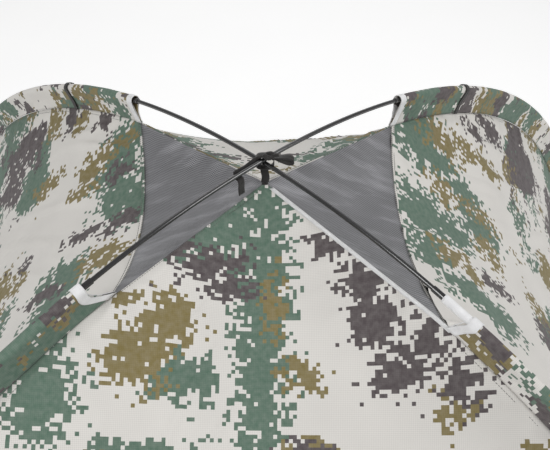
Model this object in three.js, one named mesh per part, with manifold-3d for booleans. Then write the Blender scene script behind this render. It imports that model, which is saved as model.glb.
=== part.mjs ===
// A two-pole camouflage dome shelter, pitched, without its rain fly. Millimetres, +Z up.
// The origin is the centre of the groundsheet's underside. The door is in the -Y wall.
import * as THREE from "three";
import { mergeGeometries, mergeVertices } from "three/addons/utils/BufferGeometryUtils.js";
import Module from "manifold-3d";

// --- Driving dimensions ----------------------------------------------------------------------
const POLE_RADIUS = 1420; // both poles are bent to this arc
const APEX_HEIGHT = 1300; // height at which the two poles cross
const ARC_CENTRE_HEIGHT = APEX_HEIGHT - POLE_RADIUS;
const POLE_DIAMETER = 7;
const POLE_BORE = 4.4;
const POLE_STACK = 3.7; // each pole lies this far above or below the crossing's height
const POLE_END_HEIGHT = 30;
const MIDDLE_SECTION = 690;
const SIDE_SECTIONS = 3; // sections on each side of the middle one
const FERRULE_DIAMETER = 9.4;
const FERRULE_HALF = 30;
const FERRULE_PLAY = 0.4;
const CORD_DIAMETER = 2.6;

const FIN_DEPTH = 46; // from the pole's centreline down to the seam of the walls
const SEAM_RADIUS = POLE_RADIUS - FIN_DEPTH;
const SLEEVE_FOOT_HEIGHT = 120;
const FABRIC_APEX_HEIGHT = 1260;
const STRAIGHT_SEAM = 340; // arc length from the apex over which the seams run straight
const FABRIC_THICKNESS = 2;
const MESH_THICKNESS = 1.5;
const WALL_SAG = 78; // the most that a wall hangs in from the chord between its two seams
const RIM_HEIGHT = 80; // the groundsheet turns up this far
const SEAM_GAP = 4;

// Arc lengths from the apex at which each sleeve's mouth sits on the pole and on the seam.
const MOUTHS = {
  front_left: { pole: 338, seam: 300 },
  front_right: { pole: 386, seam: 366 },
  back_left: { pole: 332, seam: 328 },
  back_right: { pole: 332, seam: 328 },
};
const COLLAR_START = 340; // the front right sleeve has a narrow collar from here to its mouth
const MOUTH_TAPE_WIDTH = 15;
const FLY_LOOP_AT = 550;
const FLY_LOOP_WIDTH = 12;
const LOOP_THICKNESS = 1.3;
const SEWN_GAP = 0.5;

const DOOR_LEAN = 24.4; // degrees from upright of the flat door area
const DOOR_HALF_WIDTH = 420;
const DOOR_SILL = 30; // up the slope from the rim to the bottom zip
const DOOR_TOP = 700; // up the slope from the rim to the top of the centre zip
const FLAT_ACROSS = [0.55, 0.8]; // the door area's flatness fades out between these shares
const FLAT_UP = [800, 1000]; // and between these heights
const FOLD_GAP = 1.6;
const NOTCH_WIDTH = 24;
const NOTCH_TOP = 62;
const ZIP_GAP = 6; // from the zip's centreline to the cut edge of the fabric
const TAPE_GAP = 0.8;
const TAPE_WIDTH = 11.2;
const TAPE_LOW = 0.3;
const TAPE_HIGH = 1.7;
const SLIDER_WIDTH = 9;
const SLIDER_LENGTH = 12;
const TAB_LENGTH = 25;

const RING_RADIUS = 11;
const WIRE_RADIUS = 1.5;
const RING_HEIGHT = 11;

// --- Colours ---------------------------------------------------------------------------------
const material = (color, roughness, metalness = 0) =>
  new THREE.MeshStandardMaterial({ color, roughness, metalness });
const CAMO = material(0xc9c8c2, 0.85);
const MESH = material(0x5f6064, 0.9);
const WHITE = material(0xeef0f2, 0.7);
const BLACK_TAPE = material(0x141414, 0.8);
const POLE = material(0x1d1d1e, 0.35);
const RUBBER = material(0x2a2a2c, 0.9);
const STEEL = material(0xb5b7ba, 0.35, 1);
const GROUNDSHEET = material(0x3a3d3c, 0.6);
const ZIP = material(0x26282a, 0.6);

const group = new THREE.Group();
const wasm = await Module();
wasm.setup();

// --- Helpers ---------------------------------------------------------------------------------
const lerp = THREE.MathUtils.lerp;
const ease = (x, from, to) => THREE.MathUtils.smoothstep(x, from, to);

function add(name, geometry, finish) {
  const mesh = new THREE.Mesh(geometry, finish);
  mesh.name = name;
  group.add(mesh);
  return mesh;
}

// Moves every vertex of a straight geometry to move(x, y, z), which is how a piece is bent.
function bend(geometry, move) {
  const position = geometry.getAttribute("position");
  for (let i = 0; i < position.count; i++) {
    const p = move(position.getX(i), position.getY(i), position.getZ(i));
    position.setXYZ(i, p.x, p.y, p.z);
  }
  return geometry;
}

function toSolid(geometry) {
  const bare = geometry.clone();
  bare.deleteAttribute("normal");
  bare.deleteAttribute("uv");
  const merged = mergeVertices(bare, 1e-3);
  const mesh = new wasm.Mesh({
    numProp: 3,
    vertProperties: merged.getAttribute("position").array,
    triVerts: new Uint32Array(merged.index.array),
  });
  return new wasm.Manifold(mesh);
}

function toGeometry(solid) {
  const mesh = solid.getMesh();
  return new THREE.BufferGeometry()
    .setAttribute("position", new THREE.BufferAttribute(mesh.vertProperties, 3))
    .setIndex(new THREE.BufferAttribute(mesh.triVerts, 1));
}

const join = (...geometries) =>
  toGeometry(geometries.map(toSolid).reduce((all, next) => all.add(next)));

// A box between two corners.
function block(low, high) {
  const size = high.map((h, i) => h - low[i]);
  const centre = high.map((h, i) => (h + low[i]) / 2);
  return new THREE.BoxGeometry(...size).translate(...centre);
}

function shapeOf(points) {
  return new THREE.Shape(points.map(([x, y]) => new THREE.Vector2(x, y)));
}

const prism = (shape, depth, steps = 1) =>
  new THREE.ExtrudeGeometry(shape, { depth, steps, bevelEnabled: false, curveSegments: 4 });

// --- The arcs --------------------------------------------------------------------------------
// Each leg is half a pole: its azimuth, and how far its pole is lifted at the crossing.
const LEGS = {
  front_left: { azimuth: -135, lift: POLE_STACK },
  back_right: { azimuth: 45, lift: POLE_STACK },
  front_right: { azimuth: -45, lift: -POLE_STACK },
  back_left: { azimuth: 135, lift: -POLE_STACK },
};

// The point at arc length s down a leg from the apex, moved outwards from the arc and sideways.
function onArc(leg, s, out = 0, side = 0) {
  const azimuth = THREE.MathUtils.degToRad(leg.azimuth);
  const angle = s / POLE_RADIUS;
  const reach = (POLE_RADIUS + out) * Math.sin(angle);
  return new THREE.Vector3(
    reach * Math.cos(azimuth) + side * Math.sin(azimuth),
    reach * Math.sin(azimuth) - side * Math.cos(azimuth),
    ARC_CENTRE_HEIGHT + leg.lift + (POLE_RADIUS + out) * Math.cos(angle),
  );
}

const arcLengthAtHeight = (height, radius) =>
  POLE_RADIUS * Math.acos((height - ARC_CENTRE_HEIGHT) / radius);
const POLE_END = arcLengthAtHeight(POLE_END_HEIGHT, POLE_RADIUS);
const SLEEVE_FOOT = arcLengthAtHeight(SLEEVE_FOOT_HEIGHT, POLE_RADIUS);
const RIM = arcLengthAtHeight(RIM_HEIGHT, SEAM_RADIUS);

// --- Poles -----------------------------------------------------------------------------------
const POLE_SIDES = 8;
const STATION = 80; // every piece that follows an arc bends at multiples of this arc length

// The arc lengths at which a piece between two arc lengths is bent, its two ends included.
function stations(from, to) {
  const stops = [from];
  for (let s = Math.ceil(from / STATION) * STATION; s < to; s += STATION) {
    if (s > from) stops.push(s);
  }
  stops.push(to);
  return stops;
}

// The closed profile [radius, s] of a body of revolution, with the stations on its long runs.
function stationed(profile) {
  const points = [];
  profile.forEach(([radius, s], i) => {
    points.push(new THREE.Vector2(radius, s));
    if (i === profile.length - 1) return;
    const next = profile[i + 1][1];
    const between = stations(Math.min(s, next), Math.max(s, next)).slice(1, -1);
    if (next < s) between.reverse();
    points.push(...between.map((stop) => new THREE.Vector2(radius, stop)));
  });
  return points;
}

// A body of revolution bent round a pole's arc.
function turned(profile, leg, sides) {
  const straight = new THREE.LatheGeometry(stationed(profile), sides);
  return bend(straight, (x, y, z) => onArc(leg, y, z, x));
}

// A hollow section from one arc length to the next, with the ferrule crimped to its far end. It
// also bends where it leaves the ferrule before it.
function poleSection(from, to, isFirst, isLast) {
  const rod = POLE_DIAMETER / 2;
  const bore = POLE_BORE / 2;
  const profile = [[bore, from], [rod, from]];
  if (!isFirst) {
    profile.push([rod, from + FERRULE_HALF]);
  }
  if (isLast) {
    profile.push([rod, to], [bore, to]);
  } else {
    const ferrule = FERRULE_DIAMETER / 2;
    const socket = rod + FERRULE_PLAY;
    const end = to + FERRULE_HALF;
    profile.push([rod, to - FERRULE_HALF], [ferrule, to - FERRULE_HALF], [ferrule, end]);
    profile.push([socket, end], [socket, to], [bore, to]);
  }
  profile.push([bore, from]);
  return profile;
}

const JOINT_GAP = 0.4;
const sideSection = (POLE_END - MIDDLE_SECTION / 2) / SIDE_SECTIONS;
const joints = [];
for (let k = 0; k <= SIDE_SECTIONS; k++) {
  joints.push(MIDDLE_SECTION / 2 + k * sideSection);
}

function pole(letter, leg) {
  const stops = [...joints.map((s) => -s).reverse(), ...joints];
  for (let k = 0; k < stops.length - 1; k++) {
    const isLast = k === stops.length - 2;
    const profile = poleSection(stops[k] + JOINT_GAP, stops[k + 1], k === 0, isLast);
    add(`pole_${letter}_section_${k + 1}`, turned(profile, leg, POLE_SIDES), POLE);
  }
  const half = POLE_END - 60;
  const radius = CORD_DIAMETER / 2;
  const cord = [[0, -half], [radius, -half], [radius, half], [0, half]];
  add(`shock_cord_${letter}`, turned(cord, leg, 6), RUBBER);
}
pole("a", LEGS.back_right);
pole("b", LEGS.back_left);

// --- Sleeves, their mouth tapes and the fly loops ----------------------------------------------
const CHANNEL_RADIUS = 6.6;
const SLEEVE_RADIUS = 7.8;
const FIN_HALF = 1.4;
const FIN_FOOT = FIN_DEPTH - 1.6;

const NECK_DEPTH = 24; // where the sleeve's two sides close into a fin
const ROUND_TOP = [-20, 200]; // degrees of the sleeve's round top, from its right side over
const TOP_STEPS = 7;

// The outline round a sleeve and grown by an offset, from its right foot over the top to its left.
function sleeveOutline(grow) {
  const radius = SLEEVE_RADIUS + grow;
  const half = FIN_HALF + grow;
  const points = [[half, -FIN_FOOT], [half, -NECK_DEPTH]];
  for (let k = 0; k <= TOP_STEPS; k++) {
    const angle = THREE.MathUtils.degToRad(lerp(...ROUND_TOP, k / TOP_STEPS));
    points.push([radius * Math.cos(angle), radius * Math.sin(angle)]);
  }
  points.push([-half, -NECK_DEPTH], [-half, -FIN_FOOT]);
  return points;
}

// Extrudes a shape, drawn with +y outwards, from one arc length to another down a leg. A slant
// moves the start's fin edge along the arc; it is gone at the next station unless it is kept.
function alongLeg(shape, leg, from, to, slant = 0, keepsSlant = false) {
  const stops = stations(from, to);
  const steps = stops.length - 1;
  return bend(prism(shape, steps, steps), (x, y, z) => {
    const stop = Math.round(z);
    const skew = stop === 0 || keepsSlant ? (slant * Math.max(0, -y)) / FIN_DEPTH : 0;
    return onArc(leg, stops[stop] + skew, y, -x);
  });
}

function hollowSleeve() {
  const shape = shapeOf(sleeveOutline(0));
  shape.holes.push(new THREE.Path().absarc(0, 0, CHANNEL_RADIUS, 0, 2 * Math.PI));
  return shape;
}

function sleeve(corner) {
  const leg = LEGS[corner];
  const mouth = MOUTHS[corner];
  const slant = mouth.seam - mouth.pole;
  const from = mouth.pole + MOUTH_TAPE_WIDTH / 2;
  const cloth = alongLeg(hollowSleeve(), leg, from, SLEEVE_FOOT, slant);
  add(`sleeve_${corner}`, cloth, CAMO);
  const start = mouth.pole - MOUTH_TAPE_WIDTH / 2;
  const tape = alongLeg(hollowSleeve(), leg, start, from - SEWN_GAP, slant, true);
  add(`mouth_tape_${corner}`, tape, WHITE);
}

// A tape that runs up one side of the sleeve, over the pole and down the other side.
function flyLoop(corner) {
  const outer = sleeveOutline(SEWN_GAP + LOOP_THICKNESS);
  const inner = sleeveOutline(SEWN_GAP);
  const saddle = shapeOf([...outer, ...inner.reverse()]);
  const end = FLY_LOOP_AT + FLY_LOOP_WIDTH;
  add(`fly_loop_${corner}`, alongLeg(saddle, LEGS[corner], FLY_LOOP_AT, end), BLACK_TAPE);
}

for (const corner of Object.keys(LEGS)) {
  sleeve(corner);
  flyLoop(corner);
}

// The narrow white collar that carries the pole from the open roof to the front right mouth.
const collarEnd = MOUTHS.front_right.pole - MOUTH_TAPE_WIDTH / 2 - 1;
const collarProfile = [
  [POLE_DIAMETER / 2 + 2, COLLAR_START],
  [POLE_DIAMETER / 2 + 3, COLLAR_START],
  [POLE_DIAMETER / 2 + 3, collarEnd],
  [POLE_DIAMETER / 2 + 2, collarEnd],
  [POLE_DIAMETER / 2 + 2, COLLAR_START],
];
add("sleeve_collar_front_right", turned(collarProfile, LEGS.front_right, 8), WHITE);

// --- Walls and roof mesh -----------------------------------------------------------------------
// A wall's seam at arc length s: its reach from the centre and its height.
function seam(s) {
  const angle = Math.max(s, STRAIGHT_SEAM) / POLE_RADIUS;
  const reach = SEAM_RADIUS * Math.sin(angle);
  const height = ARC_CENTRE_HEIGHT + SEAM_RADIUS * Math.cos(angle);
  if (s >= STRAIGHT_SEAM) return { reach, height };
  const share = s / STRAIGHT_SEAM;
  return { reach: reach * share, height: lerp(FABRIC_APEX_HEIGHT, height, share) };
}

const RIM_OUT = seam(RIM).reach / Math.SQRT2;
const doorLean = THREE.MathUtils.degToRad(DOOR_LEAN);

// A point of the wall that faces -Y: u runs from -1 to 1 between its seams, s is the arc length
// from the apex and inset the depth into the cloth. A door wall is flat round its door.
function onWall(u, s, inset, hasDoor) {
  const here = seam(s);
  const next = seam(s + 1);
  const run = (next.reach - here.reach) / Math.SQRT2;
  const drop = next.height - here.height;
  const step = Math.hypot(run, drop);
  const share = 1 - s / RIM;
  const sag = WALL_SAG * 4 * share * (1 - share) * (1 - u * u) + inset;
  const halfWidth = here.reach / Math.SQRT2 - SEAM_GAP;
  let out = here.reach / Math.SQRT2 + (drop / step) * sag;
  const height = here.height - (run / step) * sag;
  if (hasDoor) {
    const flatness = (1 - ease(Math.abs(u), ...FLAT_ACROSS)) * (1 - ease(height, ...FLAT_UP));
    const flat = RIM_OUT - (height - RIM_HEIGHT) * Math.tan(doorLean) - inset / Math.cos(doorLean);
    out = lerp(out, flat, flatness);
  }
  return new THREE.Vector3(u * halfWidth, -out, height);
}

// The border of a grid of points, going down its left side, along its foot and back over the top.
function gridBorder(across, down) {
  const row = across + 1;
  const border = [];
  for (let y = 0; y < down; y++) border.push(y * row);
  for (let x = 0; x < across; x++) border.push(down * row + x);
  for (let y = down; y > 0; y--) border.push(y * row + across);
  for (let x = across; x > 0; x--) border.push(x);
  return border;
}

// The cloth of a wall from arc length top(u) down to bottom(u): two faces that are cut into the
// same triangles, and a strip round their edge.
function cloth(top, bottom, thickness, across, down, hasDoor) {
  const face = (inset) =>
    bend(new THREE.PlaneGeometry(2, 1, across, down), (x, y) =>
      onWall(x, lerp(bottom(x), top(x), y + 0.5), inset, hasDoor),
    );
  const outer = face(0);
  const shell = mergeGeometries([outer, face(thickness)]);
  const behind = outer.getAttribute("position").count;
  const front = [...outer.index.array];
  const back = front.map((i) => i + behind).reverse();
  const border = gridBorder(across, down);
  const strip = border.flatMap((a, i) => {
    const b = border[(i + 1) % border.length];
    return [b, a, a + behind, b, a + behind, b + behind];
  });
  shell.setIndex([...front, ...back, ...strip]);
  return shell;
}

const quarterTurn = Math.PI / 2;
const TOP_HOLE = 24; // arc length left open at the very apex
const constant = (value) => () => value;

// Left and right are named as seen from the front, so the right wall is the +X one.
const rightBase = (u) => lerp(MOUTHS.front_right.seam, MOUTHS.back_right.seam, (u + 1) / 2);
const leftBase = (u) => lerp(MOUTHS.back_left.seam, MOUTHS.front_left.seam, (u + 1) / 2);
const belowBase = (base) => (u) => base(u) + 1;

const rim = constant(RIM - 0.5);
const apex = constant(TOP_HOLE);
const sides = {
  right: { turn: 1, base: rightBase },
  left: { turn: -1, base: leftBase },
};
for (const [name, side] of Object.entries(sides)) {
  const wall = cloth(belowBase(side.base), rim, FABRIC_THICKNESS, 8, 12, false);
  add(`wall_${name}`, wall, CAMO).rotation.z = side.turn * quarterTurn;
  const mesh = cloth(apex, side.base, MESH_THICKNESS, 8, 3, false);
  add(`roof_mesh_${name}`, mesh, MESH).rotation.z = side.turn * quarterTurn;
}
add("wall_back", cloth(apex, rim, FABRIC_THICKNESS, 8, 13, false), CAMO).rotation.z = Math.PI;

// --- The door, drawn flat: x across, y up the slope from the rim, z outwards ---------------------
const doorFrame = new THREE.Group();
doorFrame.position.set(0, -RIM_OUT, RIM_HEIGHT);
doorFrame.rotation.x = Math.PI / 2 - doorLean;
group.add(doorFrame);
doorFrame.updateMatrix();

function addToDoor(name, geometry, finish) {
  const mesh = add(name, geometry, finish);
  doorFrame.add(mesh);
}

const foldLength = Math.hypot(DOOR_TOP - DOOR_SILL, DOOR_HALF_WIDTH);
// Half the door's width at height y up the slope, with the fold line moved outwards by a gap.
const foldAt = (y, gap) =>
  (DOOR_HALF_WIDTH * (DOOR_TOP - y)) / (DOOR_TOP - DOOR_SILL) +
  (gap * foldLength) / (DOOR_TOP - DOOR_SILL);
const foldTop = (x, gap) =>
  DOOR_TOP - ((x - foldAt(DOOR_TOP, gap)) * (DOOR_TOP - DOOR_SILL)) / DOOR_HALF_WIDTH;

const sillEdge = DOOR_SILL - ZIP_GAP;
const opening = shapeOf([
  [-foldAt(sillEdge, FOLD_GAP), sillEdge],
  [foldAt(sillEdge, FOLD_GAP), sillEdge],
  [0, foldTop(0, FOLD_GAP)],
]);
const cutter = prism(opening, 60).translate(0, 0, -30).applyMatrix4(doorFrame.matrix);
const frontCloth = toSolid(cloth(apex, rim, FABRIC_THICKNESS, 12, 14, true));
add("wall_front", toGeometry(frontCloth.subtract(toSolid(cutter))), CAMO);

const mirrored = (points, sign) =>
  sign > 0 ? points : points.map(([x, y]) => [-x, y]).reverse();

for (const [name, sign] of [["left", -1], ["right", 1]]) {
  const bottom = DOOR_SILL + ZIP_GAP;
  const flap = [
    [ZIP_GAP, NOTCH_TOP], [NOTCH_WIDTH, NOTCH_TOP], [NOTCH_WIDTH, bottom],
    [foldAt(bottom, -FOLD_GAP), bottom], [ZIP_GAP, foldTop(ZIP_GAP, -FOLD_GAP)],
  ];
  const cut = prism(shapeOf(mirrored(flap, sign)), FABRIC_THICKNESS);
  addToDoor(`door_flap_${name}`, cut.translate(0, 0, -FABRIC_THICKNESS), CAMO);

  // One tape follows the flap's free edges: down the centre, round the notch, along the bottom.
  const far = TAPE_GAP + TAPE_WIDTH;
  const low = DOOR_SILL + TAPE_GAP;
  const end = foldAt(low, 0) - 24;
  const top = foldTop(far, 0) - 8;
  const tape = [
    [TAPE_GAP, NOTCH_TOP], [NOTCH_WIDTH, NOTCH_TOP], [NOTCH_WIDTH, low], [end, low],
    [end, low + TAPE_WIDTH], [NOTCH_WIDTH + TAPE_WIDTH, low + TAPE_WIDTH],
    [NOTCH_WIDTH + TAPE_WIDTH, NOTCH_TOP + TAPE_WIDTH], [far, NOTCH_TOP + TAPE_WIDTH],
    [far, top], [TAPE_GAP, top],
  ];
  const strip = prism(shapeOf(mirrored(tape, sign)), TAPE_HIGH - TAPE_LOW);
  addToDoor(`zip_tape_${name}`, strip.translate(0, 0, TAPE_LOW), ZIP);
}
const sillTop = DOOR_SILL - TAPE_GAP;
const sillHalf = foldAt(DOOR_SILL, 0) - 6;
const sillTape = block(
  [-sillHalf, sillTop - TAPE_WIDTH, TAPE_LOW],
  [sillHalf, sillTop, TAPE_HIGH],
);
addToDoor("zip_tape_sill", sillTape, ZIP);

// --- Zip sliders and their pull tabs -------------------------------------------------------------
const PLATE = 1.2;
const PLATE_GAP = 0.4;
const BAR_HEIGHT = 5.6; // the pull bar's axis above the cloth
const BAR_HALF = 2.9;
const CHEEK = 1;

// A slider whose channel runs along y, with a crossbar along x for its tab.
function sliderBody(length, width) {
  const inner = TAPE_LOW - PLATE_GAP;
  const outer = TAPE_HIGH + PLATE_GAP;
  const w = width / 2;
  const l = length / 2;
  const web = length > width ? [0.45, l] : [w, 0.45];
  const parts = [
    block([-w, -l, inner - PLATE], [w, l, inner]),
    block([-w, -l, outer], [w, l, outer + PLATE]),
    block([-web[0], -web[1], inner - PLATE], [web[0], web[1], outer + PLATE]),
  ];
  for (const sign of [-1, 1]) {
    const near = Math.min(sign * BAR_HALF, sign * (BAR_HALF + CHEEK));
    const cheek = [[near, -1.4, outer], [near + CHEEK, 1.4, BAR_HEIGHT + 1.2]];
    parts.push(block(...cheek));
  }
  parts.push(block([-BAR_HALF - 0.5, -0.6, BAR_HEIGHT - 0.6], [BAR_HALF + 0.5, 0.6, BAR_HEIGHT + 0.6]));
  return join(...parts);
}

// A pull tab hanging along -y from a knuckle round the bar, as an outline extruded along x.
function pullTab() {
  const outline = new THREE.Shape();
  outline.moveTo(-TAB_LENGTH, -0.7);
  outline.lineTo(-2, -0.7);
  outline.absarc(0, 0, 2.1, Math.PI + 0.4, Math.PI - 0.4, false);
  outline.lineTo(-TAB_LENGTH, 0.7);
  outline.closePath();
  outline.holes.push(new THREE.Path().absarc(0, 0, 1.3, 0, 2 * Math.PI));
  const width = 2 * BAR_HALF - 0.8;
  const tab = new THREE.ExtrudeGeometry(outline, {
    depth: width,
    steps: 1,
    bevelEnabled: false,
    curveSegments: 4,
  });
  // (x, y, extrusion) of the outline become (y, z, x) of the door.
  return bend(tab, (x, y, z) => new THREE.Vector3(z - width / 2, x, y));
}

const SLIDERS = {
  centre: { at: [0, 52], length: SLIDER_LENGTH, width: SLIDER_WIDTH },
  left: { at: [-15, DOOR_SILL], length: SLIDER_WIDTH, width: SLIDER_LENGTH },
  right: { at: [15, DOOR_SILL], length: SLIDER_WIDTH, width: SLIDER_LENGTH },
};
for (const [name, slider] of Object.entries(SLIDERS)) {
  const [x, y] = slider.at;
  const body = sliderBody(slider.length, slider.width).translate(x, y, 0);
  addToDoor(`zip_slider_${name}`, body, STEEL);
  addToDoor(`pull_tab_${name}`, pullTab().translate(x, y, BAR_HEIGHT), STEEL);
}

// --- Groundsheet: a square tray whose rim meets the walls ----------------------------------------
const trayReach = (height) =>
  Math.sqrt(SEAM_RADIUS ** 2 - (height - ARC_CENTRE_HEIGHT) ** 2);
const rimTop = RIM_HEIGHT - 0.4;
const trayProfile = [
  [0, 0],
  [trayReach(0), 0],
  [trayReach(rimTop), rimTop],
  [trayReach(rimTop) - 1.5 * FABRIC_THICKNESS, rimTop],
  [trayReach(0) - 1.5 * FABRIC_THICKNESS, FABRIC_THICKNESS],
  [0, FABRIC_THICKNESS],
].map(([radius, height]) => new THREE.Vector2(radius, height));
// The lathe's four corners are turned to lie under the four seams.
const tray = new THREE.LatheGeometry(trayProfile, 4, Math.PI / 4).rotateX(Math.PI / 2);
add("groundsheet", tray, GROUNDSHEET);

// --- Corner hardware: a pin in the pole's end, a ring, and a webbing tab on the groundsheet -------
const PIN_RADIUS = 1.3;
const PIN_INSERT = 38;
const EYE_RADIUS = 4.2;
const TAB_HALF_WIDTH = 5;
const TAB_HOLE = [7, 5.4];
const TAB_WALL = 1.4;

for (const [corner, leg] of Object.entries(LEGS)) {
  const foot = onArc(leg, POLE_END);
  const above = onArc(leg, POLE_END - PIN_INSERT);
  const down = foot.clone().sub(above).normalize();
  const eyeCentre = foot.clone().addScaledVector(down, (foot.z - RING_HEIGHT) / -down.z);
  const shaftLength = above.distanceTo(eyeCentre) - EYE_RADIUS;
  const heading = THREE.MathUtils.degToRad(leg.azimuth);

  // In the corner's own frame +x points outwards from the tent and +z is up.
  const holder = new THREE.Group();
  holder.position.set(eyeCentre.x, eyeCentre.y, RING_HEIGHT);
  holder.rotation.z = heading;
  group.add(holder);
  const place = (name, geometry, finish) => holder.add(add(name, geometry, finish));

  const tilt = Math.atan2(-Math.hypot(down.x, down.y), -down.z);
  const shaft = new THREE.CylinderGeometry(PIN_RADIUS, PIN_RADIUS, shaftLength, 8)
    .rotateX(Math.PI / 2)
    .translate(0, 0, EYE_RADIUS + shaftLength / 2)
    .rotateY(tilt);
  const eye = new THREE.TorusGeometry(EYE_RADIUS, PIN_RADIUS, 6, 12).rotateX(Math.PI / 2);
  place(`corner_pin_${corner}`, join(shaft, eye), STEEL);

  const ring = new THREE.TorusGeometry(RING_RADIUS, WIRE_RADIUS, 6, 16);
  place(`corner_ring_${corner}`, ring.translate(-RING_RADIUS, 0, 0), STEEL);

  const link = -2 * RING_RADIUS;
  const tabEnd = trayReach(RING_HEIGHT) + 0.6 - Math.hypot(eyeCentre.x, eyeCentre.y);
  const [holeLength, holeHeight] = TAB_HOLE;
  const tip = link + holeLength / 2 + TAB_WALL;
  const half = holeHeight / 2 + TAB_WALL;
  const strap = shapeOf([[tabEnd, -half], [tip, -half], [tip, half], [tabEnd, half]]);
  const h = [link - holeLength / 2, link + holeLength / 2, holeHeight / 2];
  strap.holes.push(
    new THREE.Path([
      new THREE.Vector2(h[0], -h[2]),
      new THREE.Vector2(h[0], h[2]),
      new THREE.Vector2(h[1], h[2]),
      new THREE.Vector2(h[1], -h[2]),
    ]),
  );
  const web = prism(strap, 2 * TAB_HALF_WIDTH).translate(0, 0, -TAB_HALF_WIDTH);
  place(`corner_tab_${corner}`, web.rotateX(Math.PI / 2), BLACK_TAPE);
}

// --- Apex tie: one tape sewn to the roof's point and tied round the crossing in a half bow ---------
const TIE_WIDTH = 12;
const TIE = 1.5;
const LOOP_HALF = 13;
const LOOP_TOP = APEX_HEIGHT + POLE_STACK + POLE_DIAMETER / 2 + 2;
const LOOP_FOOT = APEX_HEIGHT - POLE_STACK - POLE_DIAMETER / 2 - 2;
const BOW = { x: 27, z: LOOP_TOP - 5, half: 15, height: 6 };
const CAP_REACH = 34;
const TAIL = { from: 6, to: 58, side: 5, low: -4, high: 6 }; // along the front left pole

// An outline in the XZ plane, as wide as the tape along Y.
const tapePiece = (shape) =>
  prism(shape, TIE_WIDTH).translate(0, 0, -TIE_WIDTH / 2).rotateX(Math.PI / 2);

const rectangle = (x, low, high) => [[-x, low], [x, low], [x, high], [-x, high]];

const loopShape = shapeOf(rectangle(LOOP_HALF, LOOP_FOOT - TIE, LOOP_TOP + TIE));
const loopHole = shapeOf(rectangle(LOOP_HALF - TIE, LOOP_FOOT, LOOP_TOP));
loopShape.holes.push(loopHole);

const bowShape = new THREE.Shape().absellipse(BOW.x, BOW.z, BOW.half, BOW.height, 0, 2 * Math.PI);
const bowHole = new THREE.Path();
bowHole.absellipse(BOW.x, BOW.z, BOW.half - TIE, BOW.height - TIE, 0, 2 * Math.PI);
bowShape.holes.push(bowHole);

// A shallow four-sided cap over the point where the roof's seams meet.
const roofFoot = seam(STRAIGHT_SEAM);
const capFall = (CAP_REACH / roofFoot.reach) * (FABRIC_APEX_HEIGHT - roofFoot.height);
const capLow = FABRIC_APEX_HEIGHT + SEWN_GAP;
const capProfile = [
  [0, capLow],
  [CAP_REACH, capLow - capFall],
  [CAP_REACH, capLow + TIE - capFall],
  [0, capLow + TIE],
].map(([radius, height]) => new THREE.Vector2(radius, height));
const cap = new THREE.LatheGeometry(capProfile, 4, Math.PI / 4).rotateX(Math.PI / 2);
const strap = block(
  [-TIE_WIDTH / 2, -TIE / 2, capLow + TIE / 2],
  [TIE_WIDTH / 2, TIE / 2, LOOP_FOOT - TIE / 2],
);

// The free end runs beside the front left pole, turns under it and hangs on its near side. Its
// outline is drawn across the pole: x to the far side, y outwards.
const across = (x, y, z) => onArc(LEGS.front_left, TAIL.to - z, y, x);
const beside = block(
  [TAIL.side - TIE / 2, TAIL.low, 0],
  [TAIL.side + TIE / 2, TAIL.high, TAIL.to - TAIL.from],
);
const hook = shapeOf([
  [TAIL.side + TIE / 2, -2], [TAIL.side - TIE / 2, -2], [TAIL.side - TIE, -5.5], [-4, -6.5],
  [-9.5, -32], [-8, -32.3], [-2.8, -8], [TAIL.side, -7],
]);
const tail = [beside, prism(hook, TIE_WIDTH)].map((piece) => bend(piece, across));

const tie = join(tapePiece(loopShape), tapePiece(bowShape), strap, cap, ...tail);
add("apex_tie", tie, BLACK_TAPE);

export default group;
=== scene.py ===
import math

import bmesh
import bpy
import numpy as np
from mathutils import Matrix, Vector
from mathutils import noise as perlin


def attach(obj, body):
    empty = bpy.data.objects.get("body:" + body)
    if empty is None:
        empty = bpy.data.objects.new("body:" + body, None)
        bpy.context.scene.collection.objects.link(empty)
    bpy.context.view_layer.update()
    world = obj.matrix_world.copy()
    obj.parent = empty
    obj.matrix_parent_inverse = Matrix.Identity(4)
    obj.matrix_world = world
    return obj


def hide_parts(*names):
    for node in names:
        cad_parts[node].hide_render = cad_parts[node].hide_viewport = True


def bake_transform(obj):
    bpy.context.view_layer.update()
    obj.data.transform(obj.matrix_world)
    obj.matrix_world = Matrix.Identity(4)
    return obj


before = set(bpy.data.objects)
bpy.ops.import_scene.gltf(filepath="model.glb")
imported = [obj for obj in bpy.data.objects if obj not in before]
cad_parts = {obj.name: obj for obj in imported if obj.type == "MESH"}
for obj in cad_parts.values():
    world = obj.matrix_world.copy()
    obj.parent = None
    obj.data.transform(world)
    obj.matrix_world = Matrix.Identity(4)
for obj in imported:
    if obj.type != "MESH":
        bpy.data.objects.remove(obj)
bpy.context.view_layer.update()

# --- The shelter's measures, in metres ---
POLE_RADIUS = 1.420  # of the arc that each pole is bent to
APEX_HEIGHT = 1.300
ARC_CENTRE = APEX_HEIGHT - POLE_RADIUS
ROD, BORE, FERRULE = 0.0035, 0.0022, 0.0047  # radii
FERRULE_HALF = 0.030
POLE_STACK = 0.0037  # one pole passes this far above the arc, the other this far below
POLE_END_HEIGHT = 0.030
MIDDLE_SECTION = 0.690
SIDE_SECTIONS = 3

FIN_DEPTH = 0.046
SEAM_RADIUS = POLE_RADIUS - FIN_DEPTH
SLEEVE_FOOT_HEIGHT = 0.120
FABRIC_APEX = 1.260
STRAIGHT_SEAM = 0.340
SEAM_EASE = 0.060
SEAM_EDGE = 0.0006  # the cloth stops this far short of a seam
WALL_SAG = 0.078
WALL_TOP = 0.005
RIM_HEIGHT = 0.080
CLOTH = 0.0007

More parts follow.
